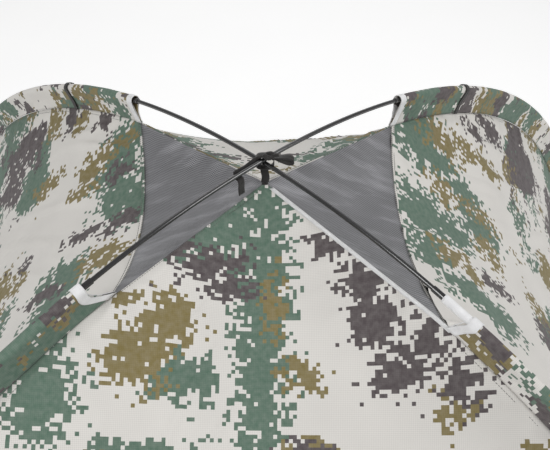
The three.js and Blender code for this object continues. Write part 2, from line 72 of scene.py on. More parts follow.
# The arc lengths of each sleeve's mouth, at the pole and at the seam.
MOUTHS = {
    "front_left": (0.338, 0.300),
    "front_right": (0.386, 0.366),
    "back_left": (0.332, 0.328),
    "back_right": (0.332, 0.328),
}
MOUTH_DIP = {"front_left": 0.013, "front_right": 0.0, "back_left": 0.004, "back_right": 0.004}
MOUTH_TAPE = 0.015
COLLAR_START = 0.334
FLY_LOOP_AT = 0.550
FLY_LOOP_WIDTH = 0.012

DOOR_LEAN = math.radians(24.4)
DOOR_HALF_WIDTH = 0.420
DOOR_SILL = 0.030
DOOR_TOP = 0.700
ZIP_GAP = 0.006
NOTCH_WIDTH = 0.024
NOTCH_TOP = 0.062
FLAT_ACROSS = (0.55, 0.8)
FLAT_UP = (0.8, 1.0)

# Each leg's azimuth, and its pole's lift where the poles cross.
LEGS = {
    "front_left": (math.radians(-135), POLE_STACK),
    "back_right": (math.radians(45), POLE_STACK),
    "front_right": (math.radians(-45), -POLE_STACK),
    "back_left": (math.radians(135), -POLE_STACK),
}
WALL_TURNS = {"front": 0, "right": 1, "back": 2, "left": -1}

# --- Camera ---
CAMERA_PLACE = (0.0063, -0.9218, 1.9789)
CAMERA_YAW, CAMERA_PITCH, CAMERA_ROLL = (math.radians(a) for a in (0.634, 41.104, 1.068))
CAMERA_LENS = 50.42  # mm


def make_camera():
    forward = Vector((
        math.sin(CAMERA_YAW) * math.cos(CAMERA_PITCH),
        math.cos(CAMERA_YAW) * math.cos(CAMERA_PITCH),
        -math.sin(CAMERA_PITCH),
    ))
    level = Vector((math.cos(CAMERA_YAW), -math.sin(CAMERA_YAW), 0))
    upright = level.cross(forward)
    right = level * math.cos(CAMERA_ROLL) + upright * math.sin(CAMERA_ROLL)
    up = upright * math.cos(CAMERA_ROLL) - level * math.sin(CAMERA_ROLL)
    data = bpy.data.cameras.new("camera")
    data.sensor_width = 36
    data.lens = CAMERA_LENS
    camera = bpy.data.objects.new("camera", data)
    axes = Matrix((right, up, -forward)).transposed()
    camera.matrix_world = Matrix.Translation(CAMERA_PLACE) @ axes.to_4x4()
    bpy.context.scene.collection.objects.link(camera)
    bpy.context.scene.camera = camera


make_camera()


# --- Shader nodes ---
def linear(*srgb):
    """A colour given as 0-255 sRGB, as linear RGBA."""
    shares = [c / 255 for c in srgb]
    return (*[c / 12.92 if c <= 0.04045 else ((c + 0.055) / 1.055) ** 2.4 for c in shares], 1)


def darker(color, share):
    return [c * share for c in color[:3]] + [1]


class Shader:
    """A material under construction, with short names for the nodes it needs."""

    def __init__(self, name, slot, roughness=0.8, **weights):
        self.material = bpy.data.materials.new(name)
        self.material.use_nodes = True
        self.slot = slot
        self.tree = self.material.node_tree
        self.surface = self.tree.nodes["Principled BSDF"]
        self.set("Roughness", roughness)
        self.set("Metallic", weights.get("metallic", 0.0))
        self.set("Specular IOR Level", weights.get("specular", 0.5))
        self.set("Sheen Weight", weights.get("sheen", 0.0))
        self.set("Sheen Roughness", 0.5)

    def set(self, socket, value):
        if isinstance(value, bpy.types.NodeSocket):
            self.tree.links.new(value, self.surface.inputs[socket])
        elif value is not None:
            self.surface.inputs[socket].default_value = value

    def node(self, kind, inputs=(), output=0, **settings):
        node = self.tree.nodes.new(kind)
        for key, value in settings.items():
            setattr(node, key, value)
        for key, value in dict(inputs).items():
            if isinstance(value, bpy.types.NodeSocket):
                self.tree.links.new(value, node.inputs[key])
            else:
                node.inputs[key].default_value = value
        return node.outputs[output]

    def math(self, operation, a, b):
        return self.node("ShaderNodeMath", {0: a, 1: b}, operation=operation)

    def vector(self, operation, a, b=(0, 0, 0), output=0):
        return self.node("ShaderNodeVectorMath", {0: a, 1: b}, output, operation=operation)

    def remap(self, value, low, high, to_low=0.0, to_high=1.0):
        return self.node("ShaderNodeMapRange", {"Value": value, 1: low, 2: high, 3: to_low, 4: to_high})

    def clouds(self, vector, scale, detail, to_low, to_high):
        """A noise whose middle range runs from one value to another."""
        return self.remap(self.noise(vector, scale, detail), 0.3, 0.7, to_low, to_high)

    def mix(self, factor, a, b):
        return self.node("ShaderNodeMix", {0: factor, 6: a, 7: b}, 2, data_type="RGBA")

    def noise(self, vector, scale, detail):
        return self.node("ShaderNodeTexNoise", {"Vector": vector, "Scale": scale, "Detail": detail})

    def speckle(self, vector):
        return self.node("ShaderNodeTexWhiteNoise", {"Vector": vector}, noise_dimensions="3D")

    def wave(self, vector, scale, direction, distortion=0.0):
        inputs = {"Vector": vector, "Scale": scale, "Distortion": distortion}
        return self.node("ShaderNodeTexWave", inputs, 1, bands_direction=direction)

    def uv(self):
        return self.node("ShaderNodeUVMap", uv_map="UVMap")

    def place(self):
        return self.node("ShaderNodeTexCoord", output=3)

    def shade(self, color, tone):
        """A colour with its three channels multiplied by a tone."""
        tones = self.node("ShaderNodeCombineXYZ", {0: tone, 1: tone, 2: tone})
        return self.vector("MULTIPLY", color, tones)

    def bump(self, height, strength, distance, after=None):
        inputs = {"Height": height, "Strength": strength, "Distance": distance}
        if after is not None:
            inputs["Normal"] = after
        return self.node("ShaderNodeBump", inputs)

    def finish(self, color, normal=None, roughness=None):
        """The material and its slot, as a pair; pieces use only the material."""
        self.set("Base Color", color)
        self.set("Normal", normal)
        self.set("Roughness", roughness)
        return self.material, self.slot


# --- Printed cloth ---
LIGHT_GREY = linear(219, 216, 211)
# Each ink's colour, noise offset, blotch scale, threshold, reach and fullness. Reach scales the
# ink's patches, and a low fullness leaves more holes in them.
INKS = {
    "green": (linear(88, 113, 98), 0.0, 4.4, 0.53, 0.98, 0.86),
    "khaki": (linear(127, 114, 71), 5.3, 6.5, 0.57, 0.76, 0.32),
    "dark": (linear(82, 74, 76), 9.1, 6.0, 0.585, 0.80, 0.58),
}
CAMO_CELL = 0.0052
THREAD_PITCH = 0.0024


def printed(shader, cells, local, clump, wild, patches, offset, scale, threshold, reach, fullness):
    """One where an ink is printed, and zero elsewhere."""
    moved = shader.vector("ADD", cells, (offset, offset * 0.7, offset))
    speck = shader.speckle(moved)
    ragged = shader.remap(shader.noise(moved, 46 * scale[1], 3), 0.25, 0.75, -0.55, 0.55)
    blotch = shader.noise(moved, scale[0] * scale[1], 1.5)
    blotch = shader.remap(blotch, threshold - 0.06, threshold + 0.06, -0.8, 0.8)
    best = shader.math("ADD", blotch, wild)
    for x, y, half_width, half_height, turn in patches:
        ellipse = shader.node("ShaderNodeMapping", {
            "Vector": local,
            "Location": (x, -y, 0),
            "Rotation": (0, 0, math.radians(turn)),
            "Scale": (half_width, half_height, 1),
        }, vector_type="TEXTURE")
        away = shader.vector("LENGTH", ellipse, output=1)
        best = shader.math("MAXIMUM", best, shader.math("SUBTRACT", reach, away))
    best = shader.math("MINIMUM", best, fullness)
    jitter = shader.math("ADD", shader.remap(speck, 0, 1, -0.42, 0.42), clump)
    total = shader.math("ADD", shader.math("ADD", best, ragged), jitter)
    return shader.math("GREATER_THAN", total, 0.0)


def camo(name, seed, wild_from, patches, fineness=1.0):
    """Printed pixel camouflage. Patches holds each ink's ellipses on the cloth, as (across, down,
    half width, half height, turn); past wild_from down the cloth the inks also grow by noise."""
    shader = Shader(name, "camo_cloth", 0.82, sheen=0.08, specular=0.3)
    cloth = shader.uv()
    cells = shader.vector("SNAP", cloth, (CAMO_CELL,) * 3)
    shift = Vector((seed * 1.3, seed * 2.1, seed))
    cells = shader.vector("ADD", cells, shift + Vector((CAMO_CELL / 2, CAMO_CELL / 2, 0)))
    local = shader.vector("SUBTRACT", cells, shift)
    clump = shader.speckle(shader.vector("SNAP", cells, (CAMO_CELL * 3, CAMO_CELL * 2, 1)))
    clump = shader.remap(clump, 0, 1, -0.24, 0.24)
    down = shader.math("MULTIPLY", shader.node("ShaderNodeSeparateXYZ", {0: local}, 1), -1.0)
    wild = shader.remap(down, wild_from, wild_from + 0.06, -3.0, 0.0)
    color = LIGHT_GREY
    for ink, (tint, offset, scale, *limits) in INKS.items():
        mask = printed(
            shader, cells, local, clump, wild, patches.get(ink, ()), offset, (scale, fineness), *limits
        )
        color = shader.mix(mask, color, tint)
    color = shader.mix(shader.clouds(cloth, 120, 3, 0.0, 0.10), color, LIGHT_GREY)
    threads = [shader.wave(cloth, 2 / THREAD_PITCH / math.tau, way, 0.4) for way in "XY"]
    height = shader.math("ADD", shader.math("ADD", *threads), shader.noise(cloth, 2600, 2))
    # Painted shade between the threads: the cloth is darker where the weave is low and lighter on the
    # threads' tops, by the same heights as the bump.
    tone = shader.remap(height, 0.4, 2.6, 0.87, 1.06)
    tone = shader.math("MULTIPLY", tone, shader.clouds(cloth, 9, 3, 0.96, 1.03))
    return shader.finish(shader.shade(color, tone), shader.bump(height, 0.5, 0.00006))


# --- Other materials ---
def tape_material(name, slot, color, roughness, ribs=0.0011, depth=0.0002):
    """Woven narrow tape: ribs along it and a fine weave across, with painted shade in the grooves between
    them.
    """
    shader = Shader(name, slot, roughness, sheen=0.2)
    cloth = shader.uv()
    rib = shader.wave(cloth, 1 / ribs / 2, "X")
    cross = shader.wave(cloth, 1 / 0.0007 / 2, "Y", 0.2)
    height = shader.math("ADD", rib, shader.math("MULTIPLY", cross, 0.4))
    wear = shader.remap(shader.noise(cloth, 60, 3), 0.25, 0.75, 0.88, 1.06)
    # Painted shade in the grooves: the tape is darker where its ribs and weave are low; wear varies the tone
    # at random.
    tone = shader.math("MULTIPLY", shader.remap(height, 0, 1.4, 0.82, 1.0), wear)
    return shader.finish(shader.shade(color[:3], tone), shader.bump(height, 0.6, depth))


def mesh_material():
    """Fine vent netting: grey threads, painted shade in the holes for the dark inside seen through them,
    faint clouds, and light streaks, some of them painted glints.
    """
    shader = Shader("vent_netting", "mesh", 0.6, sheen=0.1)
    cloth = shader.uv()
    turned = shader.node("ShaderNodeMapping", {"Vector": cloth, "Rotation": (0, 0, math.radians(38))})
    columns, rows = [shader.wave(turned, 1 / 0.0030 / 3, way, 0.5) for way in "XY"]
    # The holes are painted shade: a dark colour that stands for the shaded inside seen through them.
    hole_shade = shader.remap(shader.math("MULTIPLY", columns, rows), 0.12, 0.5)
    # Along these streaks the painted shade in the holes is weaker, so the netting looks lighter there.
    lighter_streaks = shader.noise(shader.vector("MULTIPLY", cloth, (9, 3, 1)), 1.6, 3)
    hole_shade = shader.math("MULTIPLY", hole_shade, shader.remap(lighter_streaks, 0.35, 0.62, 1.0, 0.55))
    # Painted glints: streaks of lighter colour that stand in for light caught on the threads.
    glint = shader.noise(shader.vector("MULTIPLY", cloth, (34, 9, 1)), 1.0, 4)
    glint = shader.remap(glint, 0.50, 0.68, 1.0, 1.6)
    tone = shader.math("MULTIPLY", shader.clouds(cloth, 14, 3, 0.88, 1.08), glint)
    # The grey of the threads, and the dark of the painted shade in the holes.
    color = shader.mix(hole_shade, linear(128, 128, 131), linear(46, 46, 49))
    return shader.finish(shader.shade(color, tone), shader.bump(hole_shade, -0.6, 0.0003))


def pole_material():
    """Pultruded glass fibre rod: near black, glossy, with faint lengthwise drawing lines."""
    shader = Shader("glass_fibre", "pole", 0.32, specular=0.6)
    shader.set("Coat Weight", 0.8)
    shader.set("Coat Roughness", 0.12)
    lines = shader.noise(shader.vector("MULTIPLY", shader.uv(), (400, 9, 1)), 1, 2)
    color = shader.mix(shader.remap(lines, 0.3, 0.7), linear(15, 15, 16), linear(32, 32, 33))
    rough = shader.clouds(shader.place(), 240, 3, 0.20, 0.28)
    return shader.finish(color, shader.bump(lines, 0.02, 0.0001), rough)


def metal_material(name, color, roughness):
    shader = Shader(name, "steel", roughness, metallic=1.0)
    place = shader.place()
    grain = shader.noise(shader.vector("MULTIPLY", place, (300, 300, 2400)), 1, 3)
    blotch = shader.noise(place, 420, 3)
    tint = shader.mix(shader.remap(blotch, 0.3, 0.75), color, darker(color, 0.72))
    rough = shader.remap(blotch, 0.3, 0.7, roughness - 0.08, roughness + 0.16)
    return shader.finish(tint, shader.bump(grain, 0.2, 0.00008), rough)


def coated_cloth(name, color):
    """Coated groundsheet cloth: a square grid of threads under a slightly shiny film, with painted shade in
    the low parts of its creases and between the threads.
    """
    shader = Shader(name, "groundsheet", 0.5)
    cloth = shader.uv()
    grid = shader.math("MAXIMUM", *[shader.wave(cloth, 1 / 0.0035 / 2, way) for way in "XY"])
    crease = shader.noise(cloth, 22, 4)
    # Painted shade in the creases: the sheet is darker where its creases sink and lighter on their crests.
    tone = shader.remap(crease, 0.3, 0.7, 0.86, 1.1)
    # Painted shade between the threads too: darker where the grid is low.
    tone = shader.math("MULTIPLY", shader.remap(grid, 0.5, 1, 0.9, 1.08), tone)
    normal = shader.bump(crease, 0.35, 0.002, shader.bump(grid, 0.4, 0.0001))
    rough = shader.remap(crease, 0.3, 0.7, 0.4, 0.62)
    return shader.finish(shader.shade(color[:3], tone), normal, rough)


def plastic_material(name, color, roughness):
    shader = Shader(name, "zip_tape", roughness)
    pits = shader.noise(shader.place(), 900, 3)
    tint = shader.mix(shader.remap(pits, 0.3, 0.7), color, darker(color, 0.8))
    return shader.finish(tint, shader.bump(pits, 0.15, 0.0001))


def stitch_material():
    shader = Shader("sewing_thread", "camo_cloth", 0.6, sheen=0.3)
    twist = shader.wave(shader.place(), 1400, "DIAGONAL")
    # Painted shade in the twist: the thread is darker where the twist sinks and lighter on its ridges.
    tint = shader.mix(twist, linear(58, 60, 56), linear(104, 106, 98))
    return shader.finish(tint, shader.bump(twist, 0.4, 0.0001))


# The patches of print on each wall, in metres across and down the cloth.
CAMO = {
    "front": camo("camo_front", 1, 0.34, {
        "green": [
            (0.000, 0.200, 0.040, 0.280, 0), (-0.048, 0.085, 0.066, 0.046, 20),
            (-0.105, 0.118, 0.055, 0.024, 12), (-0.285, 0.330, 0.045, 0.060, 0),
            (-0.105, 0.305, 0.048, 0.032, 0),
        ],
        "khaki": [
            (-0.156, 0.266, 0.044, 0.060, 0), (-0.118, 0.230, 0.038, 0.040, 30),
            (-0.188, 0.288, 0.034, 0.030, 0), (-0.190, 0.215, 0.022, 0.016, 0),
            (0.055, 0.300, 0.034, 0.026, 0), (0.014, 0.205, 0.020, 0.060, 0),
            (0.250, 0.345, 0.030, 0.030, 0),
        ],
        "dark": [
            (-0.078, 0.148, 0.056, 0.034, 10), (-0.045, 0.176, 0.034, 0.026, 0),
            (-0.125, 0.128, 0.034, 0.020, 0), (0.096, 0.116, 0.034, 0.018, -25),
            (0.140, 0.180, 0.030, 0.044, 20), (0.150, 0.228, 0.036, 0.038, -15),
            (0.185, 0.300, 0.055, 0.034, 0), (0.215, 0.262, 0.056, 0.036, -10),
            (0.262, 0.312, 0.036, 0.034, -10),
        ],
    }),
    "left": camo("camo_left", 2, 0.42, {
        "green": [
            (-0.215, 0.248, 0.040, 0.050, 0), (-0.150, 0.278, 0.060, 0.050, 0),
            (-0.085, 0.258, 0.050, 0.050, 0), (-0.040, 0.235, 0.036, 0.040, 0),
            (0.060, 0.348, 0.036, 0.055, 0), (0.120, 0.345, 0.045, 0.050, 0),
        ],
        "khaki": [
            (-0.210, 0.298, 0.024, 0.060, 0), (-0.190, 0.342, 0.040, 0.036, 0),
            (-0.148, 0.352, 0.022, 0.045, 0), (0.056, 0.270, 0.036, 0.055, 0),
            (-0.400, 0.452, 0.045, 0.040, 0), (-0.235, 0.455, 0.030, 0.050, 0),
            (-0.335, 0.375, 0.034, 0.026, 0),
        ],
        "dark": [
            (-0.020, 0.255, 0.022, 0.060, 0), (-0.032, 0.335, 0.018, 0.050, 0),
            (-0.150, 0.270, 0.030, 0.028, 0), (-0.286, 0.308, 0.030, 0.026, 0),
            (-0.362, 0.398, 0.030, 0.026, 0), (0.090, 0.390, 0.020, 0.050, 0),
        ],
    }),
    "right": camo("camo_right", 3, 0.50, {
        "green": [
            (0.245, 0.280, 0.070, 0.060, 0), (0.215, 0.335, 0.034, 0.060, 0),
            (0.195, 0.400, 0.030, 0.060, 0), (0.060, 0.290, 0.070, 0.060, 0),
            (0.062, 0.355, 0.044, 0.050, 0), (0.130, 0.440, 0.040, 0.060, 0),
            (-0.030, 0.280, 0.050, 0.040, 0), (-0.095, 0.345, 0.036, 0.060, 0),
            (-0.120, 0.400, 0.040, 0.050, 0),
        ],
        "khaki": [
            (0.275, 0.340, 0.040, 0.060, 0), (0.300, 0.400, 0.030, 0.050, 0),
            (0.325, 0.485, 0.030, 0.055, 0), (0.155, 0.345, 0.040, 0.040, 0),
            (0.165, 0.445, 0.026, 0.060, 0), (-0.010, 0.335, 0.036, 0.044, 0),
            (-0.032, 0.375, 0.026, 0.040, 0), (0.072, 0.452, 0.040, 0.040, 0),
        ],
        "dark": [
            (0.432, 0.495, 0.034, 0.070, 0), (0.372, 0.435, 0.024, 0.036, 0),
            (-0.020, 0.445, 0.026, 0.045, 0),
        ],
    }),
    "back": camo("camo_back", 4, 0.26, {
        "green": [
            (0.060, 0.088, 0.036, 0.018, 0), (0.105, 0.135, 0.052, 0.030, 0),
            (0.160, 0.205, 0.055, 0.036, 0), (-0.100, 0.138, 0.058, 0.038, 0),
            (-0.160, 0.205, 0.060, 0.040, 0),
        ],
        "khaki": [
            (0.055, 0.074, 0.034, 0.014, 0), (0.085, 0.108, 0.034, 0.020, 0),
            (0.185, 0.235, 0.040, 0.030, 0), (-0.012, 0.070, 0.034, 0.020, 0),
            (-0.180, 0.230, 0.040, 0.030, 0),
        ],
        "dark": [
            (0.060, 0.150, 0.060, 0.012, 0), (-0.020, 0.165, 0.055, 0.010, 0),
            (0.140, 0.170, 0.030, 0.018, 0),
        ],
    }),
    "sleeves": camo("camo_sleeves", 6, -1.0, {
        "green": [
            (0.055, 0.480, 0.090, 0.130, 0), (0.360, 0.560, 0.030, 0.100, 0),
            (0.980, 0.430, 0.040, 0.050, 0),
        ],
        "dark": [(0.030, 0.470, 0.030, 0.060, 0)],
    }, fineness=2.0),
}
NETTING = mesh_material()
WHITE_TAPE = tape_material("white_tape", "white_tape", linear(248, 248, 249), 0.62)
RIBBED_TAPE = tape_material("ribbed_tape", "white_tape", linear(252, 252, 252), 0.6, 0.0034, 0.0012)
BLACK_TAPE = tape_material("black_tape", "black_tape", linear(34, 31, 30), 0.8)
ZIP_TAPE = tape_material("zip_tape", "zip_tape", linear(44, 45, 47), 0.75, 0.0016)
CORD = tape_material("shock_cord", "shock_cord", linear(60, 60, 62), 0.8, 0.0009)
GLASS_FIBRE = pole_material()
STEEL = metal_material("plated_steel", linear(190, 191, 194), 0.28)
DARK_METAL = metal_material("zip_metal", linear(120, 121, 124), 0.34)
GROUNDSHEET = coated_cloth("groundsheet_cloth", linear(92, 97, 95))
COIL = plastic_material("zip_coil", linear(46, 47, 50), 0.4)
THREAD = stitch_material()


# --- Mesh helpers ---
def add_piece(name, mesh, look, body, node):
    """A piece that shows a mesh. It rides on a body unless that is None, and it replaces a CAD node where one
    is given."""
    material, slot = look
    mesh.polygons.foreach_set("use_smooth", [True] * len(mesh.polygons))
    mesh.materials.append(material)
    piece = bpy.data.objects.new(name, mesh)
    bpy.context.scene.collection.objects.link(piece)
    if body:
        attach(piece, body)
    if node:
        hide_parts(node)
    return piece


def make_piece(name, part, look, node=None, body="tent"):
    """A piece made of a part, which is (vertices, faces, a UV for each vertex)."""
    vertices, faces, uv = part
    mesh = bpy.data.meshes.new(name)
    mesh.from_pydata([tuple(v) for v in vertices], [], [tuple(f) for f in faces])
    layer = mesh.uv_layers.new(name="UVMap")
    corners = np.zeros(len(mesh.loops), np.int64)
    mesh.loops.foreach_get("vertex_index", corners)
    layer.data.foreach_set("uv", np.asarray(uv, np.float32)[corners].ravel())
    mesh.validate()
    return add_piece(name, mesh, look, body, node)


def quads(rows, columns, join_rows=False, join_columns=False):
    """The faces of a grid of points, which may close on itself either way."""
    index = np.arange(rows * columns).reshape(rows, columns)
    if join_rows:
        index = np.vstack([index, index[:1]])
    if join_columns:
        index = np.hstack([index, index[:, :1]])
    corners = [index[:-1, :-1], index[1:, :-1], index[1:, 1:], index[:-1, 1:]]
    return np.stack(corners, axis=-1).reshape(-1, 4)


def paired(a, b):
    return np.stack(np.broadcast_arrays(a, b), axis=-1)


def distance_along(path):
    return np.concatenate([[0], np.cumsum(np.linalg.norm(np.diff(path, axis=0), axis=1))])


def unit(vectors):
    return vectors / np.linalg.norm(vectors, axis=-1, keepdims=True)


def smoothstep(x, low, high):
    t = np.clip((np.asarray(x) - low) / (high - low), 0, 1)
    return t * t * (3 - 2 * t)


def noise_over(a, b, seed):
    """Perlin noise at (a, b, seed), over whole arrays."""
    a, b = np.broadcast_arrays(a, b)
    values = [perlin.noise((p, q, seed)) for p, q in zip(a.ravel(), b.ravel())]
    return np.array(values).reshape(a.shape)


def grid_normals(points):
    normal = np.cross(np.gradient(points, axis=0), np.gradient(points, axis=1))
    return normal / np.maximum(np.linalg.norm(normal, axis=2, keepdims=True), 1e-12)


def sheet_mesh(points, uv, thickness, closed=False):
    """A grid of points (rows, columns) as a closed shell of this thickness. Seen from its face,
    rows run down and columns to the right. A closed grid joins its last column to its first."""
    rows, columns = points.shape[:2]
    if closed:
        padded = np.concatenate([points[:, -1:], points, points[:, :1]], axis=1)
        normals = grid_normals(padded)[:, 1:-1]
    else:
        normals = grid_normals(points)
    count = rows * columns
    index = np.arange(count).reshape(rows, columns)
    outer = quads(rows, columns, join_columns=closed)
    if closed:
        loops = [np.append(index[-1], index[-1, 0]), np.append(index[0][::-1], index[0, -1])]
    else:
        loops = [np.concatenate([index[:, 0], index[-1, 1:], index[-2::-1, -1], index[0, -2::-1]])]
    rims = [
        np.stack([loop[1:], loop[:-1], loop[:-1] + count, loop[1:] + count], axis=-1)
        for loop in loops
    ]
    vertices = np.concatenate([points, points - normals * thickness]).reshape(-1, 3)
    faces = np.concatenate([outer, outer[:, ::-1] + count, *rims])
    return vertices, faces, np.tile(uv.reshape(-1, 2), (2, 1))


def sheet_piece(name, grid, thickness, look, node=None, body="tent", closed=False):
    return make_piece(name, sheet_mesh(*grid, thickness, closed), look, node, body)


def solidify(piece, thickness):
    """Gives a piece's open surface a thickness on its inner side."""
    thicken = piece.modifiers.new("cloth", "SOLIDIFY")
    thicken.thickness = thickness
    thicken.offset = -1
    bpy.context.view_layer.update()
    graph = bpy.context.evaluated_depsgraph_get()
    solid = bpy.data.meshes.new_from_object(piece.evaluated_get(graph))
    piece.modifiers.clear()
    piece.data = solid


def merge(parts):
    """Joins parts, which are (vertices, faces, uvs), into one."""
    vertices, faces, uvs, base = [], [], [], 0
    for v, f, t in parts:
        vertices.append(np.asarray(v, float))
        faces.extend([tuple(int(i) + base for i in face) for face in f])
        uvs.append(np.asarray(t, float))
        base += len(v)
    return np.concatenate(vertices), faces, np.concatenate(uvs)


def placed(part, matrix):
    """A part moved by a 4x4 matrix."""
    points = np.asarray(part[0]) @ np.array(matrix)[:3, :3].T + np.array(matrix)[:3, 3]
    return points, part[1], part[2]


def tube_mesh(path, radius, sides, flat=1.0, up=(0, 0, 1.0)):
    """A tube along a path; flat squeezes it along the path's own up direction."""
    path = np.asarray(path, float)
    tangent = unit(np.gradient(path, axis=0))
    side = np.cross(tangent, up)
    side /= np.maximum(np.linalg.norm(side, axis=1, keepdims=True), 1e-9)
    over = np.cross(side, tangent)
    angle = np.linspace(0, math.tau, sides, endpoint=False)
    radius = np.broadcast_to(radius, len(path))[:, None, None]
    ring = np.cos(angle)[None, :, None] * side[:, None]
    ring = ring + flat * np.sin(angle)[None, :, None] * over[:, None]
    points = (path[:, None] + ring * radius).reshape(-1, 3)
    faces = quads(len(path), sides, join_columns=True)[:, ::-1].tolist()
    faces += [list(range(sides)), list(range(len(points) - 1, len(points) - sides - 1, -1))]
    return points, faces, paired(angle[None] * ROD, distance_along(path)[:, None]).reshape(-1, 2)


# --- Arcs and walls, as in the CAD model ---
def on_arc(leg, s, out=0.0, side=0.0):
    """A point at arc length s down a leg from the apex, moved outwards and sideways."""
    azimuth, lift = LEGS[leg]
    s, out, side = np.broadcast_arrays(*[np.asarray(v, float) for v in (s, out, side)])
    reach = (POLE_RADIUS + out) * np.sin(s / POLE_RADIUS)
    return np.stack([
        reach * math.cos(azimuth) + side * math.sin(azimuth),
        reach * math.sin(azimuth) - side * math.cos(azimuth),
        ARC_CENTRE + lift + (POLE_RADIUS + out) * np.cos(s / POLE_RADIUS),
    ], axis=-1)


def arc_at_height(height, radius):
    return POLE_RADIUS * math.acos((height - ARC_CENTRE) / radius)


POLE_END = arc_at_height(POLE_END_HEIGHT, POLE_RADIUS)
SLEEVE_FOOT = arc_at_height(SLEEVE_FOOT_HEIGHT, POLE_RADIUS)
RIM = arc_at_height(RIM_HEIGHT, SEAM_RADIUS)
RIM_OUT = SEAM_RADIUS * math.sin(RIM / POLE_RADIUS) / math.sqrt(2)


def seam(s):
    """A wall's seam at arc length s: its reach from the centre, and its height. It runs straight
    from the apex and then round the arc, with an eased bend between the two."""
    s = np.asarray(s, float)
    reach = SEAM_RADIUS * np.sin(s / POLE_RADIUS)
    height = ARC_CENTRE + SEAM_RADIUS * np.cos(s / POLE_RADIUS)
    bend = STRAIGHT_SEAM / POLE_RADIUS
    share = s / STRAIGHT_SEAM
    fall = ARC_CENTRE + SEAM_RADIUS * math.cos(bend) - FABRIC_APEX
    onto_arc = smoothstep(s, STRAIGHT_SEAM - SEAM_EASE, STRAIGHT_SEAM + SEAM_EASE)
    straight_reach = SEAM_RADIUS * math.sin(bend) * share
    straight_height = FABRIC_APEX + fall * share
    return (
        straight_reach + (reach - straight_reach) * onto_arc,
        straight_height + (height - straight_height) * onto_arc,
    )


def half_width(s):
    """Half a wall's width at arc length s."""
    return seam(s)[0] / math.sqrt(2)


def on_wall(wall, u, s, lift=0.0):
    """A point of a wall: u from -1 to 1 between its seams, s down from the apex."""
    u, s, lift = np.broadcast_arrays(*[np.asarray(v, float) for v in (u, s, lift)])
    reach, height = seam(s)
    reach2, height2 = seam(s + 0.001)
    run, drop = (reach2 - reach) / math.sqrt(2), height2 - height
    step = np.hypot(run, drop)
    share = 1 - s / RIM
    sag = WALL_SAG * 4 * share * (1 - share) * (1 - u * u) - lift
    out = reach / math.sqrt(2) + drop / step * sag
    height = height - run / step * sag
    if wall == "front":
        flat = (1 - smoothstep(np.abs(u), *FLAT_ACROSS)) * (1 - smoothstep(height, *FLAT_UP))
        plane = RIM_OUT - (height - RIM_HEIGHT) * math.tan(DOOR_LEAN) + lift / math.cos(DOOR_LEAN)
        out = out + (plane - out) * flat
    x, y = u * (half_width(s) - SEAM_EDGE), -out
    turn = WALL_TURNS[wall] * math.pi / 2
    cos, sin = round(math.cos(turn)), round(math.sin(turn))
    return np.stack([cos * x - sin * y, sin * x + cos * y, height], axis=-1)


# How far down the cloth each arc length lies, measured down the middle of a wall.
ARC_STOPS = np.linspace(0, RIM, 800)
CLOTH_DOWN = distance_along(on_wall("right", 0.0, ARC_STOPS))


def cloth_uv(u, s):
    return paired(u * (half_width(s) - SEAM_EDGE), -np.interp(s, ARC_STOPS, CLOTH_DOWN))


def wrinkles(u, s, seed, amount):
    """Folds in slack cloth: broad ripples, long creases that lean across, and gathers at the seams."""
    uv = cloth_uv(u, s)
    x, y = uv[..., 0], uv[..., 1]
    lean = 0.5 if seed % 2 else -0.5
    broad = noise_over(x * 3.1 + seed, y * 2.3, seed)
    crease = noise_over(x * 15 + y * 15 * lean, y * 3.2 - x * 2.4 * lean, seed + 4)
    where = noise_over(x * 2.7, y * 2.7, seed + 11)
    crease = np.maximum(0, 0.34 - np.abs(crease) * 2.2) * smoothstep(where, -0.25, 0.12)
    gap = (1 - np.abs(u)) * seam(s)[0]
    phase = y * math.tau / 0.034 + np.sin(y * 19 + seed) * 2.0 + gap * 42
    patchy = 0.45 + 0.55 * np.sin(y * 11 + seed * 2) * np.sin(y * 5.3 + seed)
    pucker = np.maximum(-0.2, np.sin(phase)) * np.exp(-gap / 0.10) * patchy
    held = np.minimum(gap / 0.03, 1)
    return ((broad * 1.1 + crease * 1.3) * amount + pucker * 0.0068) * held


# --- Walls and roof vents ---
WALL_ROWS = 230


def line_at(s):
    """A line across a wall at one arc length."""
    return lambda u: np.full_like(u, s)


def base_of(wall):
    """The arc length at which a side wall ends and its vent begins, as a function of u."""
    ends = {
        "right": (MOUTHS["front_right"][1], MOUTHS["back_right"][1], 0.010),
        "left": (MOUTHS["back_left"][1], MOUTHS["front_left"][1], 0.020),
    }
    if wall not in ends:
        return line_at(WALL_TOP)
    at_left, at_right, bow = ends[wall]
    return lambda u: at_left + (at_right - at_left) * (u + 1) / 2 - bow * (1 - u * u)


def wall_grid(wall, top, bottom, rows, columns, seed, amount):
    u = np.tile(np.linspace(-1, 1, columns), (rows, 1))
    even = np.linspace(0, 1, rows)[:, None]
    share = 0.35 * even + 0.65 * even ** 2  # closer rows near the top, where the cloth is gathered
    s = top(u) * (1 - share) + bottom(u) * share
    return on_wall(wall, u, s, wrinkles(u, s, seed, amount)), cloth_uv(u, s)


rim_line = line_at(RIM - SEAM_EDGE)
for seed, wall in ((2, "left"), (9, "right"), (16, "back")):
    grid = wall_grid(wall, base_of(wall), rim_line, WALL_ROWS, 110, seed, 0.0110)
    piece = sheet_piece(f"wall_{wall}_cloth", grid, CLOTH, CAMO[wall], f"wall_{wall}")

for seed, wall in ((31, "left"), (36, "right")):
    grid = wall_grid(wall, line_at(WALL_TOP), base_of(wall), 40, 60, seed, 0.0030)
    piece = sheet_piece(f"roof_vent_{wall}", grid, CLOTH, NETTING, f"roof_mesh_{wall}")

